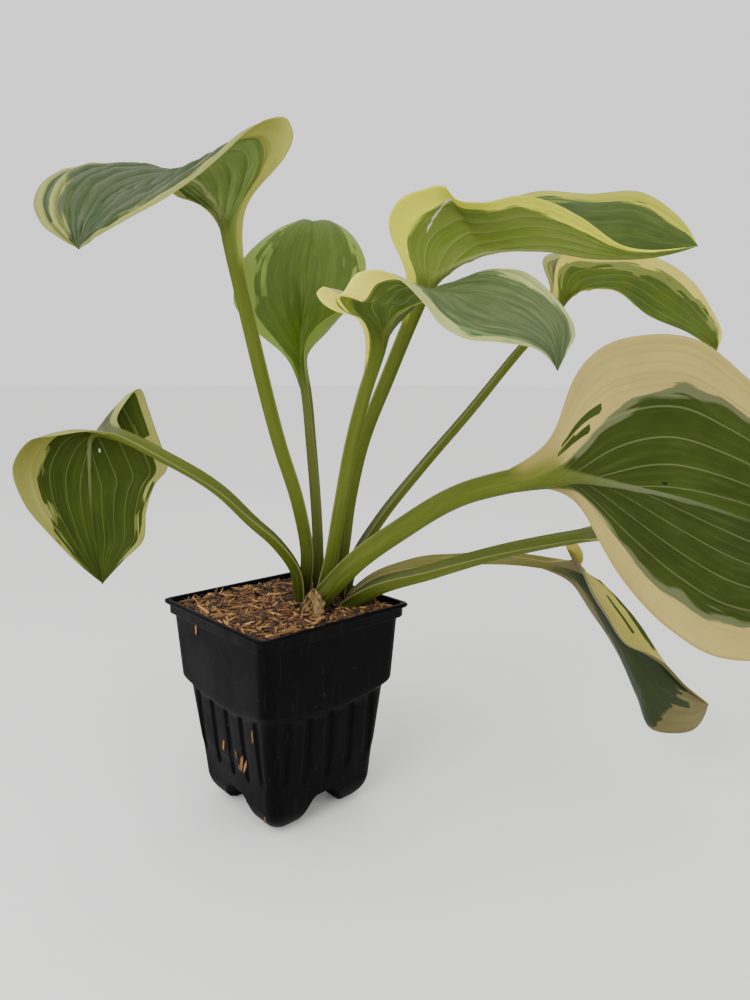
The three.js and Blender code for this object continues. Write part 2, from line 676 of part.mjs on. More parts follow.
/** The plain hole in the mix that a stalk stands in. */
function stalkHole(leaf) {
  const surface = leafSurface(leaf);
  const arcSteps = 7;
  const ringAt = (i) => {
    const { centre, across, up, width } = surface.stalkAt(i / STALK_ROWS);
    const half = width / 2 + HOLE_CLEARANCE;
    const depth = (KEEL * width + SHEET + HOLE_CLEARANCE) * 1.05;
    const topCorner = 0.06 * width + HOLE_CLEARANCE;
    const outline = [[-half, topCorner], [half, topCorner]];
    for (let step = 0; step <= arcSteps; step += 1) {
      const angle = (step / arcSteps) * Math.PI;
      outline.push([half * Math.cos(angle) * 1.05, -depth * Math.sin(angle)]);
    }
    return outline.map(([x, y]) => centre.clone().addScaledVector(across, x).addScaledVector(up, y));
  };
  const rings = [];
  for (let i = 0; rings.length === 0 || rings.at(-1)[0].z < MIX_TOP + 9; i += 1) {
    rings.push(ringAt(i));
  }
  const lowered = rings[0].map((point) => point.clone().setZ(CROWN.top));
  return loft([lowered, ...rings.slice(1)]);
}

function bractHole() {
  const [foot] = BRACT.rows;
  const top = BRACT.rows[2];
  return tube([foot.z - 0.6, top.z + 4].map((z) => ({
    centre: new THREE.Vector3(foot.x, foot.y + 0.6, z),
    across: new THREE.Vector3(1, 0, 0),
    up: new THREE.Vector3(0, 0.4, 0),
    radius: top.half + 1,
  })), 8);
}

function crownGeometry(clearance) {
  const { radius, bottom, top, sides } = CROWN;
  const profile = [
    new THREE.Vector2(0, bottom - clearance),
    new THREE.Vector2(radius * 0.6 + clearance, bottom - clearance),
    new THREE.Vector2(radius + clearance, lerp(bottom, top, 0.45)),
    new THREE.Vector2(radius + clearance, top - 2 + clearance),
    new THREE.Vector2(radius - 1 + clearance, top + clearance),
    new THREE.Vector2(0, top + clearance),
  ];
  const geometry = new THREE.LatheGeometry(profile, sides);
  geometry.rotateX(Math.PI / 2);
  geometry.translate(CROWN.x, CROWN.y, 0);
  return geometry;
}

function buildMix() {
  const bed = potForm(WALL + MIX_CLEARANCE);
  const plane = loft([
    squareRing({ ...LIP, half: LIP.half + 5, z: MIX_TOP }),
    squareRing({ ...LIP, half: LIP.half + 5, z: LIP.top + 20 }),
  ]);
  const heaped = chips().reduce((mix, chip) => mix.add(chip.intersect(bed)), bed.subtract(plane));
  const standing = [...LEAVES.map(stalkHole), bractHole(), solidFrom(crownGeometry(MIX_CLEARANCE))];
  const turned = standing.map((hole) => hole.rotate([0, 0, THREE.MathUtils.radToDeg(PLANT_TURN)]));
  const pieces = cut(heaped, turned).decompose();
  return pieces.sort((a, b) => b.volume() - a.volume())[0];
}

// The plant in its pot

function named(name, geometry, color, roughness) {
  const mesh = new THREE.Mesh(geometry, new THREE.MeshStandardMaterial({ color, roughness, metalness: 0 }));
  mesh.name = name;
  return mesh;
}

const plant = new THREE.Group();
plant.rotation.z = PLANT_TURN;
plant.add(named("crown", crownGeometry(0), "#6b5a3a", 0.8));
plant.add(named("dry_bract", bladeGeometry(bractRows(), BRACT.rows[0].z), "#b08d5e", 0.9));
for (const leaf of LEAVES) {
  const rows = leafRows(leaf, leafSurface(leaf));
  plant.add(named(leaf.name, bladeGeometry(rows, leaf.stalk[0][2]), "#5f7a3c", 0.5));
}

const whole = new THREE.Group();
whole.add(named("pot", geometryFrom(buildPot()), "#1c1d1e", 0.5));
whole.add(named("potting_mix", geometryFrom(buildMix()), "#6e4a2a", 0.95));
whole.add(plant);

// The part's reference point is the middle of its outline, on the floor
whole.updateMatrixWorld(true);
const middle = new THREE.Box3().setFromObject(whole, true).getCenter(new THREE.Vector3());
whole.position.set(-middle.x, -middle.y, 0);

const part = new THREE.Group();
part.add(whole);

export default part;
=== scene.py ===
"""A potted hosta: nine leaves with quilted, veined, cream-edged blades on long stalks, a square fluted
nursery pot, potting mix strewn with wood chips, and a dry bract. Plant sizes are in millimetres in
the plant's own axes and are placed on the frame's pot."""

import math

import bpy
import numpy as np
from mathutils import Matrix, Vector


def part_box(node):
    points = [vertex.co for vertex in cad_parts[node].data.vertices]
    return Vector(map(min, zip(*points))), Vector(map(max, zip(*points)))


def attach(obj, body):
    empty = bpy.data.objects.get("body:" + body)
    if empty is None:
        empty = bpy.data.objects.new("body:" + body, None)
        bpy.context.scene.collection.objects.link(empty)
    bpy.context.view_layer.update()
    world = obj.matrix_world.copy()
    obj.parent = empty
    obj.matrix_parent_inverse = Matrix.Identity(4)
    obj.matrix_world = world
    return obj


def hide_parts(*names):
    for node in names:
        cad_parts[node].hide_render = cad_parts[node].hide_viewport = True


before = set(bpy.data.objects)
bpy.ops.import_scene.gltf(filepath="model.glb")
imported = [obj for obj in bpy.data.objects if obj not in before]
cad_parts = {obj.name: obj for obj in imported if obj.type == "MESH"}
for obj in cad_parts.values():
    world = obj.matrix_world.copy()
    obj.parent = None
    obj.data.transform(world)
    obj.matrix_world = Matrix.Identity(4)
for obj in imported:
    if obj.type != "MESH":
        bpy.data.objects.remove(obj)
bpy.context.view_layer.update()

MM = 0.001
POT_LOW, POT_HIGH = (np.array(corner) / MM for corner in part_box("pot"))
POT_CENTRE = np.array([*(POT_LOW + POT_HIGH)[:2] / 2, 0.0])
LIP_HALF = (POT_HIGH[0] - POT_LOW[0]) / 2
LIP_TOP = POT_HIGH[2]
PLANT_TURN = math.radians(-42.4)

# The camera in the plant's axes: it looks along +Y and a little down
CAMERA = dict(across=57.6, up=197.7, back=505.4, pitch=9.25, roll=0.24, lens=27.0)

# Leaf meshes, with the keel's depth as a share of the stalk's width
STALK_ROWS = 46
BLADE_ROWS = 110
HALF_COLUMNS = 44
SHEET = 0.8
KEEL = 0.72
# Rows before and after the joint that are spread evenly, and how many times over
EVEN_BEFORE, EVEN_AFTER, EVEN_PASSES = 4, 34, 160
# Length along the rib of one quilted cell between two veins
CELL_LENGTH = 6.5

# Each leaf's route, from the foot of its stalk to its tip. The rib and both margins are listed from
# the stalk's top to the tip, and left and right are seen from above with the tip ahead. The bow is
# how far each half blade arches, as a share of its width, at four places. The channel is how deep the
# stalk is hollowed, as a share of its width.
CHANNEL = 0.22
LEAVES = [
  dict(
    name="leaf_upper_left", width=[8.5, 7.8], open=[1, 0.3, 0],
    bow=[[0, 0, 0, 0.03], [0, 0.03, 0.04, 0.04]],
    stalk=[[15, 18, 112], [14, 18, 135], [16, 13, 162], [11, 8, 196], [-1, 3, 238], [-10, 0, 275],
      [-19, -3, 316]],
    rib=[[-28, -4, 358], [-33, -4, 372], [-42, -4, 385], [-55, -3, 393], [-75, -4, 392],
      [-98, -10, 378], [-114, -18, 349]],
    left=[[-23, -8, 367], [-15, -16, 378], [-3, -26, 386], [8, -34, 395], [13, -39, 405],
      [10, -42, 412], [0, -44, 411], [-9, -45, 406], [-22, -45, 395], [-37, -45, 383],
      [-55, -43, 372], [-79, -36, 362], [-100, -27, 354]],
    right=[[-36, 2, 368], [-52, 18, 382], [-68, 34, 389], [-83, 46, 400], [-102, 46, 410],
      [-121, 42, 410], [-142, 30, 403], [-149, 18, 392], [-150, 10, 380], [-143, 2, 367],
      [-129, -8, 357]],
  ),
  dict(
    name="leaf_back", width=[8, 6.2], open=[0, -1, 0],
    bow=[[0.05, 0.1, 0.12, 0.1], [-0.5, -0.1, 0.12, 0.1]],
    stalk=[[20, 23, 112], [20, 22, 134], [19, 27, 171], [14, 33, 235], [11, 36, 265]],
    rib=[[8, 38, 284], [8, 41, 301], [11, 50, 336], [13, 66, 366], [13, 90, 386], [14, 120, 374]],
    left=[[3, 35, 288], [-11, 30, 298], [-24, 24, 310], [-32, 22, 322], [-33, 26, 332],
      [-31, 38, 348], [-19, 56, 367], [-1, 80, 383], [7, 104, 387]],
    right=[[10, 30, 289], [11, 20, 297], [18, 14, 306], [27, 10, 313], [38, 12, 319], [46, 26, 332],
      [51, 44, 349], [45, 62, 367], [32, 84, 382], [21, 106, 386]],
  ),
  dict(
    name="leaf_hanging_left", width=[8, 6.2], channel=0.3, open=[1, 0.2, 0],
    bow=[[0.22, 0.2, 0.06, 0.05], [0.05] * 4],
    stalk=[[9, 7, 112], [11, 7, 135], [10, 5, 151], [-2, -4, 174], [-16, -14, 190], [-35, -30, 213],
      [-61, -42, 232], [-86, -34, 243]],
    rib=[[-107, -16, 246], [-116, -8, 240], [-119, -6, 219], [-118, -8, 185], [-112, -14, 149]],
    left=[[-116, -15, 245], [-128, -24, 242], [-144, -27, 240], [-156, -28, 224], [-153, -26, 204],
      [-139, -22, 181], [-121, -18, 159]],
    right=[[-102, -10, 251], [-97, -2, 260], [-88.5, 4, 272], [-86, 7, 261], [-81, 6, 245],
      [-76, 4, 231], [-73, 2, 220], [-80, -2, 210], [-85, -6, 194], [-87, -10, 175],
      [-97, -13, 165]],
  ),
  dict(
    name="leaf_centre", width=[8.5, 7], open=[-1, 0.5, 0],
    bow=[[0.05, 0.05, 0.06, 0.05], [0.05, -0.03, 0.03, 0.05]],
    stalk=[[23, 11, 112], [22, 9, 139], [27, 5, 160], [34, -3, 198], [42, -11, 239], [51, -18, 272]],
    rib=[[59, -25, 295], [62, -29, 303], [71, -34, 314], [87, -36, 320], [110, -36, 322],
      [135, -36, 317], [154, -36, 303], [161, -36, 281]],
    left=[[65, -18, 302], [78, -11, 315], [96, 0, 330], [112, 6, 335], [129, 10, 342],
      [145, 4, 341], [161, -6, 328], [174, -20, 302], [167, -30, 291]],
    right=[[54, -30, 299], [51, -40, 306], [44, -54, 312], [34, -64, 310], [27, -70, 319],
      [31, -74, 322], [39, -76, 318], [48, -78, 328], [62, -80, 329], [72, -82, 323],
      [81, -83, 314], [90, -82, 303], [101, -79, 297], [122, -70, 295], [147, -52, 291]],
  ),
  dict(
    name="leaf_upper_right", width=[9, 8], open=[-1, -0.3, 0],
    bow=[[0.05] * 4, [0.08, 0.05, 0.05, 0]],
    stalk=[[27, 20, 112], [28, 19, 136], [33, 16, 161], [38, 14, 198], [47, 11, 237], [64, 8, 280]],
    rib=[[83, 4, 326], [93, 4, 335], [119, 7, 350], [159, 16, 355], [199, 26, 352], [236, 32, 354],
      [264, 34, 361]],
    left=[[87, 12, 334], [99, 40, 359], [127, 58, 384], [166, 70, 402], [205, 76, 402],
      [237, 70, 402], [258, 54, 383]],
    right=[[81, 0, 337], [73, -8, 347], [63, -14, 356], [63, -18, 369], [70, -20, 377],
      [82, -21, 381], [96, -22, 383], [102, -24, 376], [116, -24, 374], [138, -18, 379],
      [157, -10, 378], [179, 2, 372], [213, 20, 358]],
  ),
  dict(
    name="leaf_far_right", width=[8, 5.8], open=[-1, -0.6, 0],
    bow=[[0.05] * 4] * 2,
    stalk=[[36, 21, 112], [36, 23, 135], [42, 30, 154], [60, 42, 182], [86, 60, 212], [124, 78, 254],
      [165, 100, 301]],
    rib=[[196, 118, 332], [213, 124, 343], [240, 130, 345], [272, 134, 326], [305, 136, 313],
      [327, 136, 299]],
    left=[[194, 128, 344], [190, 142, 357], [188, 150, 370], [201, 160, 376], [241, 172, 371],
      [284, 172, 349], [313, 158, 328]],
    right=[[192, 112, 342], [187, 102, 355], [190, 94, 366], [217, 88, 365], [257, 88, 362],
      [285, 92, 347], [307, 102, 325], [323, 120, 309]],
  ),
  dict(
    name="leaf_front_right", width=[13, 11], open=[0, 1, 0],
    bow=[[0.06, 0.08, 0.08, 0.05]] * 2,
    stalk=[[22, -3, 112], [23, -4, 136], [33, -12, 151], [46, -22, 167], [73, -44, 192],
      [106, -72, 217], [127, -90, 226]],
    rib=[[141, -102, 231], [151, -108, 231], [168, -113, 228], [188, -116, 224], [234, -120, 211],
      [271, -116, 197], [312, -104, 174]],
    left=[[154, -102, 223], [166, -98, 203], [187, -92, 172], [212, -90, 147], [238, -90, 132],
      [263, -92, 131], [288, -96, 141], [305, -100, 158]],
    right=[[143, -108, 242], [144, -114, 255], [145, -122, 274], [153, -128, 288], [172, -134, 295],
      [193, -138, 294], [219, -140, 276], [253, -134, 247], [290, -118, 207]],
  ),
  dict(
    name="leaf_low_front", width=[11.5, 7], open=[-1, 0.4, 0],
    bow=[[0.05] * 4] * 2,
    stalk=[[36, -1, 112], [37, -2, 133], [50, -6, 144], [92, -18, 161], [132, -32, 176],
      [160, -44, 185]],
    rib=[[189, -56, 193], [206, -62, 197], [231, -64, 186], [252, -64, 161], [262, -62, 134]],
    left=[[198, -50, 200], [214, -38, 216], [244, -26, 217], [272, -30, 188], [275, -44, 155]],
    right=[[193, -62, 186], [202, -78, 170], [220, -84, 151], [240, -80, 139]],
  ),
  dict(
    name="leaf_folded_low", width=[10, 7], channel=0.25, open=[-1, 0, 0],
    bow=[[0.1, 0.1, 0.1, 0.05]] * 2,
    stalk=[[38, 11, 112], [38, 10, 130], [52, 8, 146], [81, 8, 157], [113, 12, 159], [154, 16, 157]],
    rib=[[186, 20, 151], [201, 23, 145], [230, 24, 120], [249, 16, 93], [266, 12, 72], [282, 8, 61]],
    left=[[196, 12, 159], [193, 8, 169], [181, 6, 178], [181, 14, 171], [189, 0, 159],
      [195, -10, 144], [203, -14, 131], [216, -16, 112], [232, -12, 104], [245, -4, 95],
      [266, 4, 74]],
    right=[[193, 28, 138], [209, 40, 115], [221, 46, 99], [232, 44, 81], [242, 32, 56], [249, 18, 38],
      [260, 10, 39], [273, 6, 44], [279, 6, 53]],
  ),
]

# Tones that several leaves share
PLAIN_UPPER = ("#434c2d", "#505741", "#6a6b57", "#6d743b", "#93954f", "#9b9f54", "#8b8c42")
SHADED_UNDER = ("#2b360a", "#34400e", "#3f4b14", "#5e6831", "#82803f", "#8a8a4b", "#737534")
GREEN_STALK = ("#1d1f03", "#505a1c", "#626c2d", "#93945b")

# How each leaf is coloured. left and right: how far out from the rib the pale margin starts, at even
# steps from the joint to the tip, 1 being the edge. Without right, both are alike. upper and under:
# the centre's three tones, the band beside the margin and the margin's three tones. stalk: foot,
# middle, streak and edge. fingers: green streaks in the margin, by side, place across, half width,
# start and end. marks: scars and spots, by place along and across, reach along and across, lean and
# tone.
LOOKS = {
  "leaf_upper_left": dict(
    left=(0.8, 0.78, 0.78, 0.84, 0.87, 0.88, 0.87, 0.86, 0.84, 0.9, 1),
    right=(0.9, 0.88, 0.88, 0.88, 0.88, 0.85, 0.72, 0.62, 0.62, 0.6, 0.8),
    veins=6, quilt=2.4, ragged=1, band=0.04,
    upper=("#31451b", "#505741", "#6a6b57", "#6d743b", "#93954f", "#9b9f54", "#8b8c42"),
    under=("#5e7334", "#718344", "#889752", "#7f8840", "#919041", "#999a4c", "#868538"),
    fingers=[(1, 0.8, 0.045, 0.5, 0.82), (1, 0.97, 0.05, 0.3, 0.62)],
    vein="#8c9162", rib="#a0a670"),
  "leaf_back": dict(
    left=(0.8, 0.8, 0.8, 0.8, 0.78, 0.8, 0.8, 0.84, 0.88, 0.9, 0.95),
    veins=5, quilt=0.35, ragged=1.3, band=0.03,
    upper=("#445612", "#506419", "#63752e", "#6f7f35", "#768b36", "#809441", "#667b2b"),
    under=("#5f7319", "#6c7e25", "#81913b", "#7c8d3a", "#768b36", "#809441", "#667b2b"),
    vein="#a0a670", rib="#a0a670"),
  "leaf_hanging_left": dict(
    left=(0.8, 0.8, 0.75, 0.72, 0.73, 0.68, 0.78, 0.88, 0.95, 1, 1.1),
    right=(0.8, 0.8, 0.78, 0.82, 0.86, 0.92, 0.93, 0.86, 0.88, 1, 1.1),
    veins=5, quilt=0.3, ragged=1, band=0.03,
    under=SHADED_UNDER,
    fingers=[(1, 0.86, 0.05, 0.1, 0.3), (-1, 0.78, 0.03, 0.05, 0.12)],
    marks=[(0.25, 0.25, 0.01, 0.02, 0, "#c9c4bb")],
    vein="#656d3b", rib="#676e44"),
  "leaf_centre": dict(
    left=(1.1, 1.1, 1.1, 0.98, 0.76, 0.62, 0.6, 0.78, 0.8, 0.86, 1),
    right=(0.95, 0.86, 0.8, 0.73, 0.84, 0.89, 0.9, 0.93, 0.93, 0.94, 1.05),
    veins=5, quilt=0.9, ragged=0.7, band=0.05,
    upper=("#42532d", "#526237", "#818a5c", "#6a804f", "#a8ad69", "#b3ba75", "#95975b"),
    under=("#40531b", "#526627", "#667931", "#6f7c2b", "#efe25d", "#efed68", "#e7cc4d"),
    vein="#909343", rib="#9c9f50"),
  "leaf_upper_right": dict(
    left=(0.85,) * 5 + (0.84, 0.84, 0.8, 0.73, 0.69, 0.8),
    right=(0.75, 0.69, 0.8, 0.86, 0.86, 0.71, 0.63, 0.62, 0.75, 0.9, 1),
    veins=6, quilt=0.5, ragged=0.5, band=0.02,
    upper=("#334511", "#40541a", "#5d6c29", "#6e7d1a", "#a6a525", "#b1b02b", "#94951c"),
    under=("#627629", "#6e7c36", "#7a8943", "#99a53f", "#d5d63e", "#e2e247", "#ccc837"),
    marks=[(0.215, 0.78, 0.005, 0.17, 0.37, "#d2cebc")],
    vein="#929a63", rib="#929a63"),
  "leaf_far_right": dict(
    left=(0.85,) * 9 + (0.88, 1),
    right=(0.8, 0.82, 0.77, 0.77, 0.73, 0.78, 0.86, 0.9, 0.87, 0.86, 0.95),
    veins=6, quilt=0.8, ragged=0.9, band=0.13,
    under=("#50622c", "#5c6e25", "#707f2e", "#909a4d", "#efdb66", "#efe674", "#e3cc58"),
    vein="#8e9953", rib="#a09e46"),
  "leaf_front_right": dict(
    left=(0.5, 0.64, 0.76, 0.83, 0.83, 0.8, 0.78, 0.76, 0.75, 0.76, 0.85),
    right=(0.3, 0.46, 0.64, 0.76, 0.81, 0.82, 0.8, 0.78, 0.76, 0.76, 0.85),
    veins=6, quilt=0.4, ragged=0.35, band=0.05,
    under=("#2d370e", "#354113", "#414d21", "#616646", "#a49256", "#af9f5b", "#8e8045"),
    fingers=[(1, 0.575, 0.02, 0.04, 0.13), (1, 0.67, 0.02, 0.05, 0.155), (1, 0.62, 0.012, 0.04, 0.09)],
    marks=[(0.3, 0.12, 0.007, 0.02, 0, "#0c0a06")],
    vein="#70754c", rib="#63694d"),
  "leaf_low_front": dict(
    left=(0.75,) * 3,
    veins=5, quilt=0.35, ragged=0.7, band=0.04,
    under=SHADED_UNDER,
    vein="#656d3b", rib="#676e44"),
  "leaf_folded_low": dict(
    left=(0, 0, 0, 0.1, 0.12, 0.1, 0.08, 0, 0, 0, 0),
    right=(0.7, 0.7, 0.76, 0.85, 0.96, 1.05, 1.05, 0.95, 0.3, 0, 0),
    veins=5, quilt=0.35, ragged=0.9, band=0.02,
    upper=("#262e14", "#2c3718", "#3a4323", "#414a27", "#655d39", "#6e6640", "#574f30"),
    under=("#34400c", "#3e4c10", "#4c5916", "#64702a", "#a99e4a", "#b6ac56", "#90863b"),
    fingers=[(1, 0.4, 0.06, 0.7, 0.86), (-1, 0.3, 0.04, 0.3, 0.5)],
    vein="#434609", rib="#474709", stalk=("#1a1c03", "#6c6a30", "#8f8755", "#b1a874")),
}


# Shared helpers

def unit(v):
    return v / np.maximum(np.linalg.norm(v, axis=-1, keepdims=True), 1e-9)


def smooth(edge0, edge1, value):
    t = np.clip((value - edge0) / (edge1 - edge0), 0, 1)
    return t * t * (3 - 2 * t)


def to_row(points):
    """From millimetres in the plant's axes to metres in the frame."""
    c, s = math.cos(PLANT_TURN), math.sin(PLANT_TURN)
    turn = np.array([[c, -s, 0], [s, c, 0], [0, 0, 1]])
    return (np.asarray(points, float) @ turn.T + POT_CENTRE) * MM


def value_noise(x, y, seed):
    """Smooth noise from -1 to 1 over the plane, the same on every run."""
    def corner(i, j):
        h = np.sin(i * 127.1 + j * 311.7 + seed * 74.7) * 43758.5453
        return 2 * (h - np.floor(h)) - 1
    i, j = np.floor(x), np.floor(y)
    u, v = x - i, y - j
    u, v = u * u * (3 - 2 * u), v * v * (3 - 2 * v)
    low = corner(i, j) * (1 - u) + corner(i + 1, j) * u
    high = corner(i, j + 1) * (1 - u) + corner(i + 1, j + 1) * u
    return low * (1 - v) + high * v


def add_object(name, data):
    new = bpy.data.objects.new(name, data)
    bpy.context.scene.collection.objects.link(new)
    return new


def mesh_object(name, vertices, faces, attributes=None, smooth_shading=True):
    """A mesh object from points in metres, with numbers for its vertices by attribute name."""
    mesh = bpy.data.meshes.new(name)
    mesh.from_pydata(np.asarray(vertices).tolist(), [], faces)
    mesh.validate()
    for key, values in (attributes or {}).items():
        layer = mesh.attributes.new(key, "FLOAT", "POINT")
        layer.data.foreach_set("value", np.asarray(values, np.float32).ravel())
    mesh.polygons.foreach_set("use_smooth", [smooth_shading] * len(mesh.polygons))
    mesh.update()
    return add_object(name, mesh)


def tube_object(name, rings):
    """A closed tube of rings in the pot's axes."""
    vertices = (rings.reshape(-1, 3) + POT_CENTRE) * MM
    return mesh_object(name, vertices, tube_faces(len(rings), rings.shape[1]))


def finish_piece(piece, material, node):
    piece.data.materials.append(material)
    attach(piece, "root")
    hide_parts(node)


def tube_faces(rings, columns, order=-1):
    """Quads between closed rings of points, and a face over each end. The order is -1 or 1."""
    faces = []
    for i in range(rings - 1):
        for j in range(columns):
            a = i * columns + j
            b = i * columns + (j + 1) % columns
            faces.append((a, b, b + columns, a + columns)[::order])
    faces.append(tuple(range(columns))[::-order])
    faces.append(tuple(range((rings - 1) * columns, rings * columns))[::order])
    return faces


# Node materials

def colour(text):
    """A colour written as on screen, as linear numbers."""
    values = [int(text[i:i + 2], 16) / 255 for i in (1, 3, 5)]
    return (*(v / 12.92 if v < 0.04045 else ((v + 0.055) / 1.055) ** 2.4 for v in values), 1.0)


class Shader:
    """A node material under construction. Each method adds a node and gives back its output."""

    def __init__(self, name):
        self.material = bpy.data.materials.new(name)
        self.material.use_nodes = True
        self.nodes = self.material.node_tree.nodes
        self.links = self.material.node_tree.links
        self.nodes.clear()
        self.output = self.nodes.new("ShaderNodeOutputMaterial")

    def add(self, kind, inputs=None, **settings):
        node = self.nodes.new("ShaderNode" + kind)
        for key, value in settings.items():
            setattr(node, key, value)
        for key, value in (inputs or {}).items():
            if isinstance(value, bpy.types.NodeSocket):
                self.links.new(value, node.inputs[key])
            else:
                node.inputs[key].default_value = value
        return node

    def attribute(self, name):
        return self.add("Attribute", attribute_name=name).outputs["Fac"]

    def position(self):
        return self.add("NewGeometry").outputs["Position"]

    def math(self, operation, a, b=0.0):
        return self.add("Math", {0: a, 1: b}, operation=operation).outputs[0]

    def times(self, a, b):
        return self.math("MULTIPLY", a, b)

    def plus(self, a, b):
        return self.math("ADD", a, b)

    def minus(self, a, b):
        return self.math("SUBTRACT", a, b)

    def remap(self, value, low, high, to_low=0.0, to_high=1.0):
        inputs = {"Value": value, "From Min": low, "From Max": high, "To Min": to_low, "To Max": to_high}
        return self.add("MapRange", inputs, interpolation_type="SMOOTHSTEP").outputs[0]

    def mix(self, amount, a, b):
        """From a to b, each an output or a colour written as on screen."""
        a, b = (colour(tone) if isinstance(tone, str) else tone for tone in (a, b))
        return self.add("Mix", {0: amount, 6: a, 7: b}, data_type="RGBA").outputs[2]

    def lay(self, base, tone, amount, share):
        """A tone laid over the base, at most by the share."""
        return self.mix(self.times(amount, share), base, tone)

    def noise(self, vector, scale, detail=2.0, roughness=0.5):
        inputs = {"Vector": vector, "Scale": scale, "Detail": detail, "Roughness": roughness}
        return self.add("TexNoise", inputs).outputs["Fac"]

    def stretched(self, vector, scale, rotation=(0, 0, 0)):
        inputs = {"Vector": vector, "Rotation": rotation, "Scale": scale}
        return self.add("Mapping", inputs).outputs[0]

    def combine(self, x, y, z=0.0):
        return self.add("CombineXYZ", {"X": x, "Y": y, "Z": z}).outputs[0]

    def ramp(self, value, stops):
        node = self.add("ValToRGB", {"Fac": value})
        elements = node.color_ramp.elements
        while len(elements) < len(stops):
            elements.new(0.5)
        for element, (place, text) in zip(elements, stops):
            element.position = place
            element.color = colour(text)
        return node.outputs["Color"]

    def bump(self, height, strength, distance):
        inputs = {"Height": height, "Strength": strength, "Distance": distance}
        return self.add("Bump", inputs).outputs["Normal"]

    def surface(self, base, roughness, normal=None, translucent=None, share=0.0, **inputs):
        """A Principled surface, with light let through it where a translucent colour is given."""
        settings = {"Base Color": base, "Roughness": roughness, **inputs}
        if normal is not None:
            settings["Normal"] = normal
        shader = self.add("BsdfPrincipled", settings).outputs[0]
        if translucent is not None:
            through = self.add("BsdfTranslucent", {"Color": translucent}).outputs[0]
            shader = self.add("MixShader", {"Fac": share, 1: shader, 2: through}).outputs[0]
        self.links.new(shader, self.output.inputs["Surface"])
        return self.material


# Leaves

def curve(points):
    """A smooth curve through the points, run by its share of length from 0 to 1."""
    p = np.asarray(points, float)
    steps = np.linalg.norm(np.diff(p, axis=0), axis=1)
    knots = np.concatenate([[0], np.cumsum(steps)]) / steps.sum()
    shares = steps / steps.sum()
    slopes = np.diff(p, axis=0) / shares[:, None]
    tangents = np.zeros_like(p)
    before, after = shares[:-1, None], shares[1:, None]
    tangents[1:-1] = (slopes[:-1] * after + slopes[1:] * before) / (before + after)
    tangents[0] = 1.5 * slopes[0] - 0.5 * tangents[1]
    tangents[-1] = 1.5 * slopes[-1] - 0.5 * tangents[-2]

    def at(share):
        share = np.atleast_1d(np.asarray(share, float))
        i = np.clip(np.searchsorted(knots, share, side="right") - 1, 0, len(shares) - 1)
        t = ((share - knots[i]) / shares[i])[:, None]
        span = shares[i][:, None]
        ease = t * t * (3 - 2 * t)
        swing = span * t * (1 - t) * ((1 - t) * tangents[i] - t * tangents[i + 1])
        return p[i] * (1 - ease) + p[i + 1] * ease + swing
    return at


def direction(at, share):
    step = 0.001
    return unit(at(np.minimum(share + step, 1)) - at(np.maximum(share - step, 0)))


def leaf_upper_face(leaf, u, s, t):
    """The upper face: stalk rows at shares u, then blade rows at s, with columns t from -1 to 1.
    Gives the points and each one's distance from the rib."""
    rib = curve(leaf["rib"])
    joint = np.array(leaf["rib"][0], float)
    stalk = curve([*leaf["stalk"], leaf["rib"][0]])
    foot_width, top_width = leaf["width"]
    channel = leaf.get("channel", CHANNEL)
    rib_start = direction(rib, 0)[0]

    joint_along = unit(direction(stalk, 1)[0] + rib_start)
    joint_across = np.array(leaf["right"][0], float) - np.array(leaf["left"][0], float)
    joint_across = unit(joint_across - joint_across @ joint_along * joint_along)
    joint_up = np.cross(joint_across, joint_along)
    foot_across = unit(np.cross(direction(stalk, 0)[0], leaf["open"]))

    bend = 0.5 * np.clip((u - 0.85) / 0.15, 0, 1)[:, None] ** 2
    along = unit(direction(stalk, u) * (1 - bend) + rib_start * bend)
    turn = (u * u * (3 - 2 * u))[:, None]
    across = foot_across * (1 - turn) + joint_across * turn
    across = unit(across - (across * along).sum(1, keepdims=True) * along)
    up = np.cross(across, along)
    width = (top_width + (foot_width - top_width) * (1 - u) ** 1.5)[:, None]
    lift = width * (0.12 + (channel - 0.12) * u[:, None] ** 3) * (t ** 2 - 0.5)
    side = width / 2 * np.sin(t * math.pi / 2)
    stalk_points = stalk(u)[:, None] + across[:, None] * side[..., None] + up[:, None] * lift[..., None]

    points = np.zeros((len(s), len(t), 3))
    reach = np.zeros((len(s), len(t)))
    ribs, ways = rib(s), direction(rib, s)
    joint_lift = top_width * channel
    for sign, key, bow in ((-1, "left", leaf["bow"][0]), (1, "right", leaf["bow"][1])):
        start = joint + sign * joint_across * top_width / 2 + joint_up * joint_lift / 2
        margin = curve([start, *leaf[key], leaf["rib"][-1]])
        chord = margin(s ** 0.8) - ribs
        length = np.linalg.norm(chord, axis=1)[:, None]
        facing = unit(np.cross(ways, chord) if sign < 0 else np.cross(chord, ways))
        fade = np.clip(s / 0.12, 0, 1)[:, None]
        facing = unit(joint_up * (1 - fade) + facing * fade)
        columns = t < 0 if sign < 0 else t >= 0
        share = np.abs(t[columns])[None]
        even = share ** (1 + 0.8 * (1 - s[:, None]) ** 3)
        near = np.clip(s / 0.05, 0, 1)[:, None]
        f = np.sin(share * math.pi / 2) * (1 - near) + even * near
        arch = np.interp(s, [0, 0.25, 0.6, 1], bow) * np.clip(s / 0.1, 0, 1)
        rise = arch[:, None] * length * 4 * f * (1 - f) * (1 + 0.35 * (2 * f - 1))
        rise = rise + joint_lift * (share ** 2 - 0.5 - 0.5 * f) * (1 - np.clip(s / 0.06, 0, 1))[:, None]
        points[:, columns] = ribs[:, None] + chord[:, None] * f[..., None] + facing[:, None] * rise[..., None]
        reach[:, columns] = length * f
    return np.concatenate([stalk_points, points]), np.concatenate([np.abs(side), reach]), width


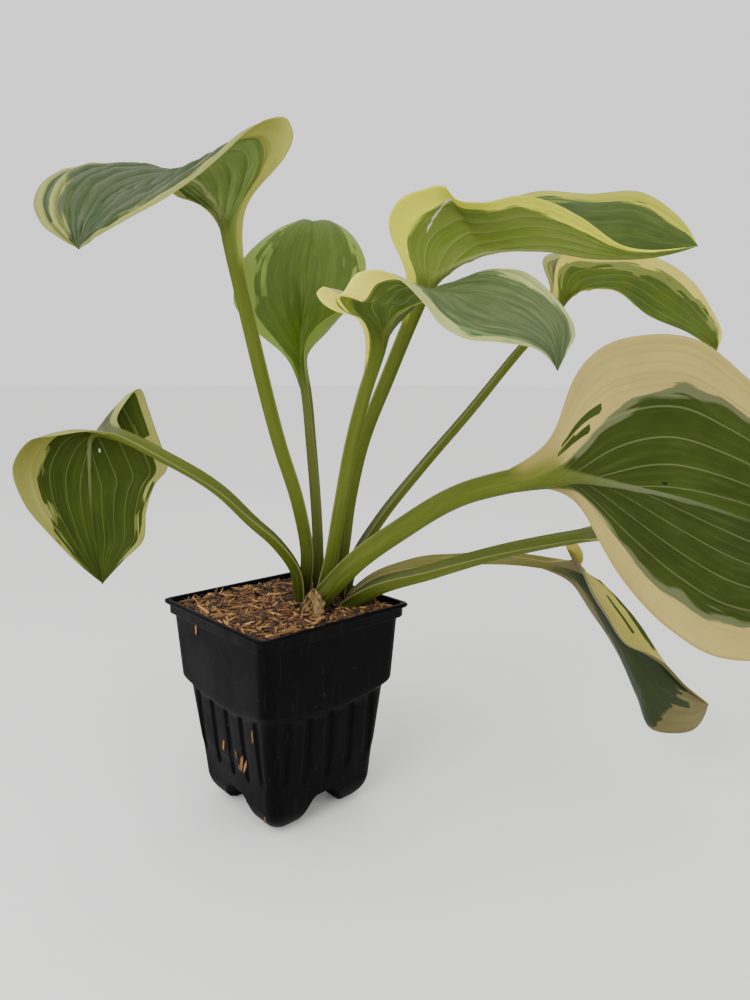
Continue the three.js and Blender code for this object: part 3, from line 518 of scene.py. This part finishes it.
def even_out(points):
    """Spreads the crowded points in the rows beside the joint."""
    first, last = STALK_ROWS - EVEN_BEFORE, STALK_ROWS + EVEN_AFTER
    for _ in range(EVEN_PASSES):
        rows = points[first:last]
        average = (points[first - 1:last - 1] + points[first + 1:last + 1]) / 2
        inner = (rows[:, :-2] + rows[:, 2:]) / 2
        average[:, 1:-1] = (average[:, 1:-1] + inner) / 2
        share = 0.5 * (1 - (np.arange(last - first) / (last - first)))[:, None, None]
        points[first:last] = rows * (1 - share) + average * share


def grid_normals(points):
    down = np.gradient(points, axis=0)
    across = np.gradient(points, axis=1)
    return unit(np.cross(across, down))


def vein_lines(s, t, count):
    """Which vein a point lies on: whole numbers run from the rib or the joint out to the tip."""
    start = 0.78 * np.exp(-s / 0.13)
    return count * (np.abs(t) + (1 - np.abs(t)) * start)


def build_leaf(leaf, seed):
    look = LOOKS[leaf["name"]]
    u = np.linspace(0, 1, STALK_ROWS)
    s = (np.arange(1, BLADE_ROWS + 1) / BLADE_ROWS) ** 1.45
    t = np.linspace(-1, 1, 2 * HALF_COLUMNS + 1)
    points, reach, width = leaf_upper_face(leaf, u, s, t)
    even_out(points)
    normals = grid_normals(points)

    rows = STALK_ROWS + BLADE_ROWS
    along = np.concatenate([u - 1, s])[:, None] * np.ones(len(t))
    side = t[None] * np.ones((rows, 1))
    blade = np.clip(along, 0, 1)
    vein = vein_lines(blade, side, look["veins"])
    inside = smooth(0.03, 0.2, blade) * smooth(0, 0.06, 1 - blade) * smooth(0, 0.06, 1 - np.abs(side))
    ridge = np.abs(np.sin(vein * math.pi)) ** 0.6
    length = np.linalg.norm(np.diff(curve(leaf["rib"])(np.linspace(0, 1, 40)), axis=0), axis=1).sum()
    slant = blade * length / CELL_LENGTH + 1.2 * (vein - np.floor(vein))
    cells = value_noise(np.floor(vein) * 3.7 + seed, slant, seed) * ridge
    ripples = value_noise(vein * 2.6 + seed, slant * 1.9, seed + 40) * ridge
    relief = inside * look["quilt"] * (0.85 * (ridge - 0.6) + 0.42 * cells + 0.16 * ripples)

    # The keel under the rib: the whole stalk at the joint, then a low narrow ridge
    stalk_width = leaf["width"][1]
    fade = np.exp(-blade / 0.09)
    keel_half = stalk_width / 2 * fade + 1.1 * (1 - fade) * (1 - 0.6 * blade)
    keel_height = KEEL * stalk_width * fade + 0.8 * (1 - fade) * (1 - blade)
    open_blade = smooth(0, 0.1, blade)
    narrow = np.sqrt(1 - np.clip(reach / keel_half, 0, 1) ** 2)
    profile = np.cos(side * math.pi / 2) * (1 - open_blade) + narrow * open_blade
    keel = keel_height * profile
    keel[:STALK_ROWS] = KEEL * width * np.cos(t * math.pi / 2)
    edge = 0.35 + 0.65 * smooth(0, 0.08, 1 - np.abs(side))
    vein_cord = inside * (1 - smooth(0.0, 0.14, np.abs((vein + 0.5) % 1 - 0.5)))
    thickness = SHEET * edge + keel + 0.3 * vein_cord

    stalk_up = normals[:STALK_ROWS, HALF_COLUMNS][:, None] * np.ones((1, len(t), 1))
    turned = smooth(0, 0.09, s)[:, None, None]
    facing = unit(np.concatenate([
        stalk_up, stalk_up[-1:] * (1 - turned) + normals[STALK_ROWS:] * turned]))
    upper = points + normals * relief[..., None]
    lower = upper - facing * thickness[..., None]
    foot = leaf["stalk"][0][2]
    upper[0, :, 2] = foot
    lower[0, :, 2] = foot

    # The rings run across the upper face and back across the lower one
    ring = np.concatenate([upper, lower[:, ::-1]], axis=1)
    faces = tube_faces(rows, ring.shape[1])

    places = np.linspace(0, 1, len(look["left"]))
    left, right = (np.interp(blade, places, look.get(key, look["left"])) for key in ("left", "right"))
    limit = np.where(side < 0, left, right)
    beyond_edge = 1.2
    for sign, place, half, first, last in look.get("fingers", []):
        is_across = (side * sign > 0) & (np.abs(np.abs(side) - place) < half)
        is_along = (blade > first) & (blade < last)
        limit = np.where(is_across & is_along, beyond_edge, limit)

    def both(values):
        return np.concatenate([values, values[:, ::-1]], axis=1)
    is_upper = np.concatenate([np.ones_like(side), np.zeros_like(side)], axis=1)
    # Painted shade: a mask that darkens the upper face in the sunken valleys along the veins
    vein_valley_shade = inside * (1 - np.abs(np.sin(vein * math.pi))) * min(1, look["quilt"] / 2)
    attributes = {
        "along": both(along), "across": both(side), "vein": both(vein), "upper": is_upper,
        "vein_valley_shade": both(vein_valley_shade), "limit": both(limit), "rib": both(profile),
    }
    piece = mesh_object(leaf["name"], to_row(ring.reshape(-1, 3)), faces, attributes)
    finish_piece(piece, leaf_material(leaf["name"], look, length, seed), leaf["name"])


def leaf_material(name, look, length, seed):
    """Green centre, grey-green band and cream margin, streaked along the veins, with the stalk's own
    colour below the joint and painted shade in the sunken veins of the upper face."""
    sh = Shader(name)
    along = sh.attribute("along")
    across = sh.attribute("across")
    vein = sh.attribute("vein")
    out = sh.math("ABSOLUTE", across)
    spread = sh.remap(along, -0.1, 0.07)

    # Streaks follow the veins: long along the blade, narrow across it
    run = sh.times(along, length / 38)
    sided = sh.plus(vein, sh.times(sh.math("SIGN", across), 20.0))
    fine = sh.noise(sh.combine(sh.times(sided, 3.1), run, seed), 1.6, 3.0, 0.6)
    broad = sh.noise(sh.combine(sh.times(sided, 0.5), run, seed + 9), 1.3)
    step = sh.noise(sh.combine(sh.math("FLOOR", sh.times(sided, 3.2)), run, seed + 4), 2.3, 0.0)
    streak = sh.plus(sh.times(sh.minus(step, 0.5), 0.3 * look["ragged"]),
                     sh.times(sh.minus(fine, 0.5), 0.16 * look["ragged"]))
    place = sh.plus(sh.minus(out, sh.attribute("limit")), streak)
    cream = sh.remap(place, -0.004, 0.010)
    band_noise = sh.times(sh.minus(step, 0.5), 0.25 * look["ragged"])
    band = sh.remap(sh.plus(place, band_noise), -look["band"] - 0.012, -look["band"] + 0.012)

    near_vein = sh.math("ABSOLUTE", sh.minus(sh.math("FRACT", sh.plus(vein, 0.5)), 0.5))
    line = sh.remap(near_vein, 0.012, 0.05, 1.0, 0.0)
    line = sh.times(line, sh.remap(along, 0.0, 0.1))
    threads = sh.noise(sh.combine(sh.times(sided, 9.0), sh.times(run, 0.3), seed), 1.0, 1.0)
    blotches = sh.noise(sh.position(), 75.0, 2.0)

    def paint(tones, line_tone, line_share):
        centre = sh.mix(sh.remap(broad, 0.3, 0.7), tones[0], tones[1])
        centre = sh.lay(centre, tones[2], sh.remap(fine, 0.42, 0.75), 0.5)
        centre = sh.lay(centre, tones[0], sh.remap(blotches, 0.52, 0.7), 0.3)
        centre = sh.lay(centre, tones[2], sh.remap(threads, 0.55, 0.75), 0.18)
        both = sh.lay(centre, tones[3], band, 0.85)
        both = sh.lay(both, line_tone, line, line_share)
        pale = sh.mix(sh.remap(broad, 0.3, 0.75), tones[4], tones[5])
        pale = sh.lay(pale, tones[6], sh.remap(threads, 0.5, 0.8), 0.35)
        pale = sh.lay(pale, tones[6], line, 0.3)
        return sh.mix(cream, both, pale)

    # The stalk: darker at its foot, with a pale line at each edge, and its colour runs on up the rib
    foot, middle, pale_streak, edge = look.get("stalk", GREEN_STALK)
    stalk = sh.mix(sh.remap(along, -1.0, -0.6), foot, middle)
    stalk = sh.lay(stalk, pale_streak, sh.remap(fine, 0.4, 0.75), 0.5)
    rim_stalk = sh.lay(stalk, edge, sh.remap(out, 0.94, 1.0), 0.55)

    upper = look.get("upper", PLAIN_UPPER)
    # Painted shade on the upper face: its veins are drawn in its darkest tone, and the vein valleys are
    # darkened further
    top = paint(upper, upper[0], 0.3)
    top = sh.lay(top, upper[0], sh.attribute("vein_valley_shade"), 0.85)
    under = paint(look["under"], look["vein"], 0.45)
    rib_tone = sh.mix(sh.remap(along, 0.02, 0.28), stalk, look["rib"])
    rib = sh.times(sh.remap(sh.attribute("rib"), 0.1, 0.75), sh.remap(along, 0.75, 0.15, 0.0, 0.85))
    under = sh.mix(rib, under, rib_tone)
    skin = sh.mix(sh.attribute("upper"), under, top)
    skin = sh.mix(spread, rim_stalk, skin)

    # Scars and spots
    for along_mark, across_mark, long_reach, wide_reach, lean, tone in look.get("marks", []):
        beside = sh.minus(across, across_mark)
        over = sh.math("DIVIDE", beside, wide_reach)
        ahead = sh.minus(sh.minus(along, along_mark), sh.times(beside, lean))
        down = sh.math("DIVIDE", ahead, long_reach)
        away = sh.plus(sh.times(down, down), sh.times(over, over))
        away = sh.plus(away, sh.times(sh.minus(threads, 0.5), 4.0))
        skin = sh.mix(sh.remap(away, 1.1, 0.7, 0.0, 0.8), skin, tone)

    # Small dark specks and a fine grain
    specks = sh.noise(sh.position(), 620.0, 1.0)
    skin = sh.lay(skin, "#3a3318", sh.remap(specks, 0.8, 0.83), 0.5)
    grain = sh.noise(sh.position(), 900.0, 3.0, 0.6)
    cells = sh.noise(sh.combine(sh.times(sided, 4.0), sh.times(along, length / 3), seed), 2.0)
    relief = sh.times(sh.times(cells, spread), 0.7)
    height = sh.plus(relief, sh.times(grain, 0.2))
    normal = sh.bump(height, 0.35, 0.0004)
    rough = sh.remap(grain, 0.2, 0.8, 0.42, 0.56)
    gloss = sh.remap(sh.attribute("upper"), 0.0, 1.0, 0.06, 0.2)
    return sh.surface(skin, rough, normal, skin, 0.12, **{"Specular IOR Level": gloss})


# Pot

# Flutes: places along a face, depth, half width, the middle one's foot and the outer ones' rise
FLUTES = np.array([-33, -16.5, 0, 16.5, 33])
FLUTE_DEPTH, FLUTE_HALF = 1.2, 2.8
FLUTE_BOTTOM, FLUTE_RISE = 29, 5.5
# The shoulder's edge: height at the middle of a face, rise to the corners and reach
SHOULDER_MIDDLE, SHOULDER_RISE, SHOULDER_REACH = 78, 6, 47
# Heights at which the profiles are read, and how far above and below the edge the walls end
UPPER_END, SHOULDER_LEVEL, LOWER_START = 86, 84, 80.7
SHOULDER_ABOVE, SHOULDER_BELOW = 1.2, 3.3
WALL = 1.2
COLLAR_BOTTOM = 125.4
# The lip's section: distance in from its edge, corner radius and distance below its top
LIP_SECTION = [
    (3.3, 4, 0.5), (2.7, 4, 0.06), (2.3, 4, 0), (0.9, 4, 0), (0.3, 4, 0.2), (0, 4, 0.8), (0, 4, 1.9),
    (0.3, 4, 2.4), (1.4, 4.2, 2.6)]
# Half width and corner radius of the walls at each height, from the collar's foot down
UPPER_PROFILE = ([125.4, 84], [52.85, 50.5], [7, 8])
LOWER_PROFILE = (
    [88, 38.6, 38, 15, 10.5, 7, 4, 1.8, 0.5, 0], [47.4, 42.45, 42, 40.1, 38.8, 36.9, 34.3, 31, 28, 26],
    [8, 8, 8, 8, 8, 8, 7.8, 7.2, 6.4, 5.6])
# The arch between two feet: distance from a face's middle, and height
ARCH_PROFILE = (
    [0, 7.5, 10, 12, 13.8, 15.4, 17, 18.3, 19.4, 20.6],
    [19.3, 19, 17.2, 14.6, 11.4, 8.4, 4.8, 1.9, 0.5, 0])


def read_profile(profile, z):
    heights, halves, corners = (np.array(values[::-1], float) for values in profile)
    return np.interp(z, heights, halves), np.interp(z, heights, corners)


def arch_height(y):
    return np.interp(np.abs(y), *ARCH_PROFILE)


def shoulder_height(y):
    share = np.clip(np.abs(y), 0, SHOULDER_REACH) / SHOULDER_REACH
    return SHOULDER_MIDDLE + SHOULDER_RISE * share ** 2


def face_columns():
    """Places along one face, in millimetres from its middle, close together at the flutes' edges."""
    across_flute = np.array([-3.3, -2.8, -2.4, -2.0, -1.6, -1.1, -0.5, 0.5, 1.1, 1.6, 2.0, 2.4, 2.8, 3.3])
    lists = [flute + across_flute for flute in FLUTES]
    lists += [[flute + 6, flute + 8.25, flute + 10.5] for flute in FLUTES[:-1]]
    return np.sort(np.concatenate(lists))


def wall_ring(half, corner, z, inset=0.0, flutes=None, profile=None):
    """One ring round the pot. z is a number or a function of the place along a face. Where a profile is
    given, each place has the half width of its own height."""
    fixed = face_columns()
    reach = (half - corner) + corner * math.sqrt(0.5)
    scale = min(1, 0.96 * reach / fixed[-1])
    ends = np.linspace(fixed[-1] * scale, reach, 7)[1:]
    a = np.concatenate([-ends[::-1], fixed * scale, ends[:-1]])
    z = z(a) if callable(z) else np.full_like(a, z)
    halves = read_profile(profile, z)[0] if profile else np.full_like(a, half)
    over = np.clip(np.abs(a) - (half - corner), 0, None)
    out = (halves - corner) + np.sqrt(np.maximum(corner ** 2 - over ** 2, 0))
    if flutes is not None:
        out = out - flutes(a, z)
    out = out - inset
    along = a * (1 - inset / 50)
    faces = []
    for turn in range(4):
        c, s = round(math.cos(turn * math.pi / 2)), round(math.sin(turn * math.pi / 2))
        faces.append(np.stack([c * out - s * along, s * out + c * along, z], axis=1))
    return np.concatenate(faces)


def flute_depth(a, z):
    nearest = FLUTES[np.argmin(np.abs(a[:, None] - FLUTES), axis=1)]
    bottom = FLUTE_BOTTOM + FLUTE_RISE * (np.abs(nearest) / FLUTES[-1]) ** 1.5 + FLUTE_HALF
    away = np.hypot(a - nearest, np.clip(bottom - z, 0, None))
    top = smooth(0, 1.2, shoulder_height(a) - 2.6 - z)
    return FLUTE_DEPTH * smooth(FLUTE_HALF + 0.3, FLUTE_HALF - 1.3, away) * top


def wall_rings(inset, top):
    """Rings of the wall from under the collar down to the arches and feet, then in to the middle."""
    rings = []
    for w in np.linspace(0, 1, 13):
        def upper_height(a, w=w):
            return top + (shoulder_height(a) + SHOULDER_ABOVE - top) * w
        half, corner = read_profile(UPPER_PROFILE, top + (UPPER_END - top) * w)
        rings.append(wall_ring(half, corner, upper_height, inset))

    upper_half, corner = read_profile(UPPER_PROFILE, SHOULDER_LEVEL)
    lower_half = read_profile(LOWER_PROFILE, SHOULDER_LEVEL)[0]
    for drop, share in ((0.2, 0.06), (-0.5, 0.25), (-1.6, 0.6), (-2.6, 0.92), (-SHOULDER_BELOW, 1.0)):
        half = upper_half + (lower_half - upper_half) * share
        rings.append(wall_ring(half, corner, lambda a, drop=drop: shoulder_height(a) + drop, inset))

    levels = np.concatenate([
        np.linspace(0.02, 0.56, 14), np.linspace(0.58, 0.86, 16), np.linspace(0.875, 1, 14)])
    for w in levels:
        def lower_height(a, w=w):
            start = shoulder_height(a) - SHOULDER_BELOW
            return start + (np.maximum(arch_height(a), 0) - start) * w
        half, corner = read_profile(LOWER_PROFILE, LOWER_START * (1 - w))
        rings.append(wall_ring(half, corner, lower_height, inset, flute_depth, LOWER_PROFILE))

    edge = rings[-1]
    shrinks = (1 - np.linspace(0, 1, 34)[1:-1]) ** 0.9
    for shrink in shrinks:
        ring = edge * [shrink, shrink, 1]
        ring[:, 2] = np.maximum(arch_height(ring[:, 0]), arch_height(ring[:, 1]))
        rings.append(ring)
    if inset:
        for ring in rings[-len(levels) - len(shrinks):]:
            ring[:, 2] = np.maximum(ring[:, 2], 0) + inset
    return rings


def build_pot():
    lip = [(LIP_HALF - inward, corner, LIP_TOP - down) for inward, corner, down in LIP_SECTION]
    collar = [
        (55.2, 5, LIP_TOP - 3.0), (55, 5, LIP_TOP - 3.6), (54.9, 5, COLLAR_BOTTOM + 0.8),
        (54.6, 5, COLLAR_BOTTOM + 0.2), (53.4, 6, COLLAR_BOTTOM), (52.9, 6.6, COLLAR_BOTTOM - 0.4),
    ]
    outer = [wall_ring(*level) for level in lip + collar] + wall_rings(0.0, COLLAR_BOTTOM - 0.9)
    inner_lip = [
        (LIP_HALF - 3.4, 4, LIP_TOP - 1.2), (LIP_HALF - 3.5, 4, COLLAR_BOTTOM + 1.6),
        (52.2, 6, COLLAR_BOTTOM + 1.2), (51.7, 6.6, COLLAR_BOTTOM + 0.6),
    ]
    inner = [wall_ring(*level) for level in inner_lip] + wall_rings(WALL, COLLAR_BOTTOM - 0.4)
    rings = np.array([*inner[::-1], *outer])
    piece = tube_object("pot_shell", rings)
    finish_piece(piece, pot_material(), "pot")


def pot_material():
    """Near-black moulded plastic with a fine texture, pale scuffs and dust that has run down."""
    sh = Shader("pot_plastic")
    place = sh.position()
    cloudy = sh.noise(place, 30.0, 4.0, 0.6)
    base = sh.mix(sh.remap(cloudy, 0.3, 0.75), "#030304", "#060607")
    streaks = sh.noise(sh.stretched(place, (1, 1, 0.12)), 240.0, 3.0)
    base = sh.lay(base, "#141414", sh.remap(streaks, 0.56, 0.74), 0.4)
    dust = sh.noise(place, 420.0, 3.0, 0.65)
    base = sh.lay(base, "#3d372f", sh.remap(dust, 0.66, 0.74), 0.55)
    grain = sh.noise(place, 1500.0, 2.0)
    scratch = sh.noise(sh.stretched(place, (1, 1, 0.04), (0.3, 0.9, 0.5)), 700.0, 1.0)
    scratches = sh.remap(scratch, 0.7, 0.76)
    base = sh.lay(base, "#2a2a2a", scratches, 0.3)
    height = sh.plus(sh.times(grain, 0.5), sh.times(cloudy, 2.0))
    rough = sh.remap(sh.plus(cloudy, sh.times(scratches, 0.2)), 0.3, 0.8, 0.42, 0.6)
    return sh.surface(base, rough, sh.bump(height, 0.25, 0.0004), **{"Specular IOR Level": 0.04})


# Potting mix, wood chips and bract

MIX_TOP = 127.6
MIX_RISE = 2.6
MIX_HALF, MIX_CORNER = 53.2, 5
MIX_RINGS = 46
# How far the bed's sides stand inside the walls, and where they start
MIX_INSET, MIX_SIDE_TOP = 3.8, 124.5
SLIVER_POINTS = 16


def mix_height(x, y):
    bumps = 1.1 * value_noise(x / 11, y / 11, 3) + 0.5 * value_noise(x / 3.5, y / 3.5, 5)
    return MIX_TOP + MIX_RISE + bumps


def build_mix():
    """The bed of dark mix under the chips: its lumpy top, and sides that follow the pot's inside."""
    top = []
    for share in np.linspace(0.02, 1, MIX_RINGS):
        ring = wall_ring(MIX_HALF, MIX_CORNER, 0.0) * [share, share, 1]
        ring[:, 2] = mix_height(ring[:, 0], ring[:, 1])
        top.append(ring)
    sides = [wall_ring(MIX_HALF, MIX_CORNER, 127.0), wall_ring(51, 6, 126.2)]
    below = wall_rings(MIX_INSET, MIX_SIDE_TOP)
    rings = np.array([*top, *sides, *below])
    rings[MIX_RINGS:, :, 2] = np.maximum(rings[MIX_RINGS:, :, 2], 0)
    piece = tube_object("potting_mix_bed", rings)
    sh = Shader("potting_mix")
    place = sh.position()
    tone = sh.noise(place, 260.0, 5.0, 0.7)
    base = sh.ramp(tone, [(0.3, "#0a0705"), (0.5, "#1c120b"), (0.62, "#3a2716"), (0.75, "#5c4226")])
    normal = sh.bump(sh.noise(place, 700.0, 4.0, 0.7), 0.9, 0.0015)
    finish_piece(piece, sh.surface(base, 0.95, normal), "potting_mix")


def stalk_places(height):
    """Where each stalk passes a height, in the pot's axes, with its radius."""
    places = []
    c, s = math.cos(PLANT_TURN), math.sin(PLANT_TURN)
    for leaf in LEAVES:
        route = curve(leaf["stalk"])(np.linspace(0, 0.4, 80))
        x, y, _ = route[np.argmin(np.abs(route[:, 2] - height))]
        places.append((x * c - y * s, x * s + y * c, leaf["width"][0] / 2))
    return places


def splinter(rng, length, width, height):
    """An uneven sliver along X: four corners at three places, pointed at its ends."""
    points = []
    for share, size in ((-0.5, 0.25), (-0.1, 1.0), (0.28, 0.85), (0.5, 0.15)):
        for side, level in ((-1, 0), (1, 0), (0.7, 1), (-0.7, 1)):
            wobble = rng.uniform(-0.14, 0.14, 3) * [length * 0.25, width, height]
            corner = [share * length, side * width / 2 * size, (level - 0.5) * height * size]
            points.append(np.array(corner) + wobble)
    faces = []
    for i in range(3):
        for j in range(4):
            a, b = 4 * i + j, 4 * i + (j + 1) % 4
            faces.append((a, b, b + 4, a + 4))
    faces += [(0, 3, 2, 1), (12, 13, 14, 15)]
    return np.array(points), faces


def finish_slivers(name, vertices, faces, tints, material):
    points = (np.concatenate(vertices) + POT_CENTRE) * MM
    piece = mesh_object(name, points, faces, {"tint": tints}, smooth_shading=False)
    finish_piece(piece, material, "potting_mix")


def scatter(name, count, seed, length, width, height, lift, material, half=52.0):
    """Slivers at seeded random places over the mix, clear of the stalks and inside the lip."""
    rng = np.random.default_rng(seed)
    stalks = stalk_places(MIX_TOP + 1)
    vertices, faces, tints = [], [], []
    placed = 0
    while placed < count:
        x, y = rng.uniform(-half, half, 2)
        size = rng.uniform(*length) * rng.uniform(0.5, 1) ** 0.5
        yaw, pitch, roll = rng.uniform(0, 2 * math.pi), rng.normal(0, 0.24), rng.uniform(-0.7, 0.7)
        ends = np.array([x, y]) + np.array([[1], [-1]]) * size / 2 * np.array([math.cos(yaw), math.sin(yaw)])
        near = min(math.hypot(x - sx, y - sy) - r for sx, sy, r in stalks)
        if np.abs(ends).max() > half or near < 1.2:
            continue
        points, quads = splinter(rng, size, rng.uniform(*width), rng.uniform(*height))
        turn = np.array((Matrix.Rotation(yaw, 3, "Z") @ Matrix.Rotation(pitch, 3, "Y")
                         @ Matrix.Rotation(roll, 3, "X")))
        level = mix_height(np.array(x), np.array(y)) + rng.uniform(*lift)
        start = SLIVER_POINTS * placed
        vertices.append(points @ turn.T + [x, y, level])
        faces += [tuple(start + k for k in quad) for quad in quads]
        tints += [rng.uniform()] * SLIVER_POINTS
        placed += 1
    finish_slivers(name, vertices, faces, tints, material)


def chip_material(name, stops):
    sh = Shader(name)
    place = sh.position()
    tint = sh.attribute("tint")
    fibre = sh.noise(place, 900.0, 3.0, 0.7)
    value = sh.plus(sh.times(tint, 0.85), sh.times(sh.minus(fibre, 0.4), 0.5))
    base = sh.ramp(value, stops)
    return sh.surface(base, 0.85, sh.bump(fibre, 0.6, 0.0006))


# Slivers stuck on the wall that faces -X: place along it, height, length, width and lean
STUCK_CHIPS = [
    (8, 47, 9, 1.7, 0.1), (-6.5, 46, 7, 1.5, -0.3), (-12.5, 43, 13, 2.2, 0.2), (-15.5, 41, 10, 1.8, 0.35),
    (-28.5, 67, 10, 1.2, 0.0), (21, 122, 8, 1.6, 0.1), (-31, 12, 6, 1.4, 0.2), (-8, 38, 5, 1.2, -0.1),
]


def stick_chips(material):
    rng = np.random.default_rng(21)
    vertices, faces, tints = [], [], []
    for number, (along, height, length, width, lean) in enumerate(STUCK_CHIPS):
        points, quads = splinter(rng, length, width, 0.9)
        upright = np.array(Matrix.Rotation(lean, 3, "X") @ Matrix.Rotation(math.pi / 2, 3, "Y"))
        profile = UPPER_PROFILE if height > SHOULDER_LEVEL else LOWER_PROFILE
        wall = read_profile(profile, np.array(float(height)))[0]
        vertices.append(points @ upright.T + [-wall - 0.1, along, height])
        faces += [tuple(SLIVER_POINTS * number + k for k in quad) for quad in quads]
        tints += [rng.uniform(0.5, 0.9)] * SLIVER_POINTS
    finish_slivers("stuck_chips", vertices, faces, tints, material)


def build_chips():
    wood = chip_material("wood_chips", [
        (0.0, "#0e0704"), (0.2, "#27150a"), (0.45, "#533215"), (0.7, "#80592b"), (1.0, "#ba935a")])
    bark = chip_material("bark_chunks", [(0.0, "#120c09"), (0.5, "#2a1a12"), (1.0, "#452d20")])
    scatter("wood_fibres", 2800, 11, (5, 14), (0.7, 1.6), (0.5, 1.0), (-0.4, 2.4), wood)
    scatter("wood_chips", 420, 12, (8, 18), (1.4, 2.9), (0.7, 1.4), (0.6, 2.6), wood)
    scatter("bark_chunks", 70, 13, (5, 11), (3.0, 6.5), (1.6, 3.4), (0.2, 1.8), bark, half=49.0)
    stick_chips(wood)


# The folded dry scale: each half has height, place and half width, from its foot to the fold
BRACT_HALVES = {
    "dry_bract_front": [
        (130, 21.2, -27, 1.6), (134, 22.6, -26, 3.4), (139, 23.0, -24.6, 4.4), (144, 21.4, -22.6, 4.0),
        (147.6, 19.4, -20.8, 1.0)],
    "dry_bract_side": [
        (131, 11.6, -23, 0.5), (136, 13.6, -22.6, 1.7), (141, 16.2, -22, 2.4), (145, 18.4, -21.4, 1.9),
        (147.4, 20.0, -20.9, 0.7)],
}


def build_bract(name, rows):
    """One half of the dry scale: thin and papery, hollowed, with a ragged edge."""
    rows = np.array(rows)
    heights = np.linspace(0, 1, 40)
    centre = curve(rows[:, [1, 2, 0]])(heights)
    half = np.interp(heights, np.linspace(0, 1, len(rows)), rows[:, 3])
    t = np.linspace(-1, 1, 25)
    ragged = 1 + 0.25 * value_noise(heights[:, None] * 9 + 5, np.sign(t)[None] * 3, 2)
    x = centre[:, 0, None] + half[:, None] * t * ragged
    folds = 1.0 * value_noise(t[None] * 2.6 + 9, heights[:, None] * 4, 8)
    y = centre[:, 1, None] - half[:, None] * 0.5 * (t ** 2 - 0.5) + folds
    z = centre[:, 2, None] + 1.2 * value_noise(t[None] * 1.5 + 4, heights[:, None] * 3, 12)
    front = np.stack([x, y, z], axis=2)
    ring = np.concatenate([front, (front + [0, 0.4, 0])[:, ::-1]], axis=1)
    faces = tube_faces(len(ring), ring.shape[1], order=1)
    piece = mesh_object(name, to_row(ring.reshape(-1, 3)), faces)
    sh = Shader("dry_bract")
    fibres = sh.noise(sh.stretched(sh.position(), (1, 1, 0.3)), 420.0, 3.0)
    base = sh.ramp(fibres, [(0.35, "#3a2a14"), (0.5, "#6e5430"), (0.68, "#9a7f52")])
    finish_piece(piece, sh.surface(base, 0.8, sh.bump(fibres, 0.3, 0.0005)), "dry_bract")


def dress_crown():
    sh = Shader("crown_fibre")
    fibres = sh.noise(sh.position(), 300.0, 4.0, 0.7)
    base = sh.ramp(fibres, [(0.3, "#2e2413"), (0.6, "#6b5a3a"), (0.8, "#8f7c55")])
    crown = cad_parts["crown"]
    crown.data.materials.clear()
    crown.data.materials.append(sh.surface(base, 0.85, sh.bump(fibres, 0.7, 0.001)))


# Floor, light and camera

def build_stage():
    half = 20.0
    corners = [(-half, -half, 0), (half, -half, 0), (half, half, 0), (-half, half, 0)]
    floor = mesh_object("floor", corners, [(0, 1, 2, 3)])
    sh = Shader("floor_paper")
    tone = sh.noise(sh.position(), 3.0)
    base = sh.mix(tone, "#f2f2f0", "#f6f6f5")
    floor.data.materials.append(sh.surface(base, 0.9))

    world = bpy.data.worlds.new("studio")
    world.use_nodes = True
    background = world.node_tree.nodes["Background"]
    background.inputs["Color"].default_value = (1, 1, 1, 1)
    background.inputs["Strength"].default_value = 1.25
    bpy.context.scene.world = world


def add_light(name, place, target, size, power):
    light = bpy.data.lights.new(name, "AREA")
    light.size = size
    light.energy = power
    holder = add_object(name, light)
    start = Vector(to_row([place])[0])
    aim = Vector(to_row([target])[0]) - start
    holder.location = start
    holder.rotation_euler = aim.to_track_quat("-Z", "Y").to_euler()


def build_lights():
    middle = (60, 0, 200)
    add_light("key", (-500, -900, 900), middle, 0.9, 12)
    add_light("fill", (900, -800, 500), middle, 1.2, 6)


def build_camera():
    data = bpy.data.cameras.new("photo_camera")
    data.lens = CAMERA["lens"]
    data.sensor_width = 36.0
    data.clip_start = 0.01
    camera = add_object("photo_camera", data)
    pitch = math.radians(CAMERA["pitch"])
    back = Vector((0, -math.cos(pitch), math.sin(pitch)))
    up = Vector((0, math.sin(pitch), math.cos(pitch)))
    place = back * CAMERA["back"] + up * CAMERA["up"] + Vector((CAMERA["across"], 0, 0))
    camera.location = to_row([place])[0]
    turn = Matrix.Rotation(PLANT_TURN, 4, "Z")
    tilt = Matrix.Rotation(math.pi / 2 - pitch, 4, "X")
    roll = Matrix.Rotation(math.radians(CAMERA["roll"]), 4, "Z")
    camera.rotation_euler = (turn @ tilt @ roll).to_euler()
    bpy.context.scene.camera = camera


build_stage()
build_lights()
build_camera()
build_pot()
build_mix()
build_chips()
for bract_name, bract_rows in BRACT_HALVES.items():
    build_bract(bract_name, bract_rows)
dress_crown()
for number, leaf_row in enumerate(LEAVES):
    build_leaf(leaf_row, number)
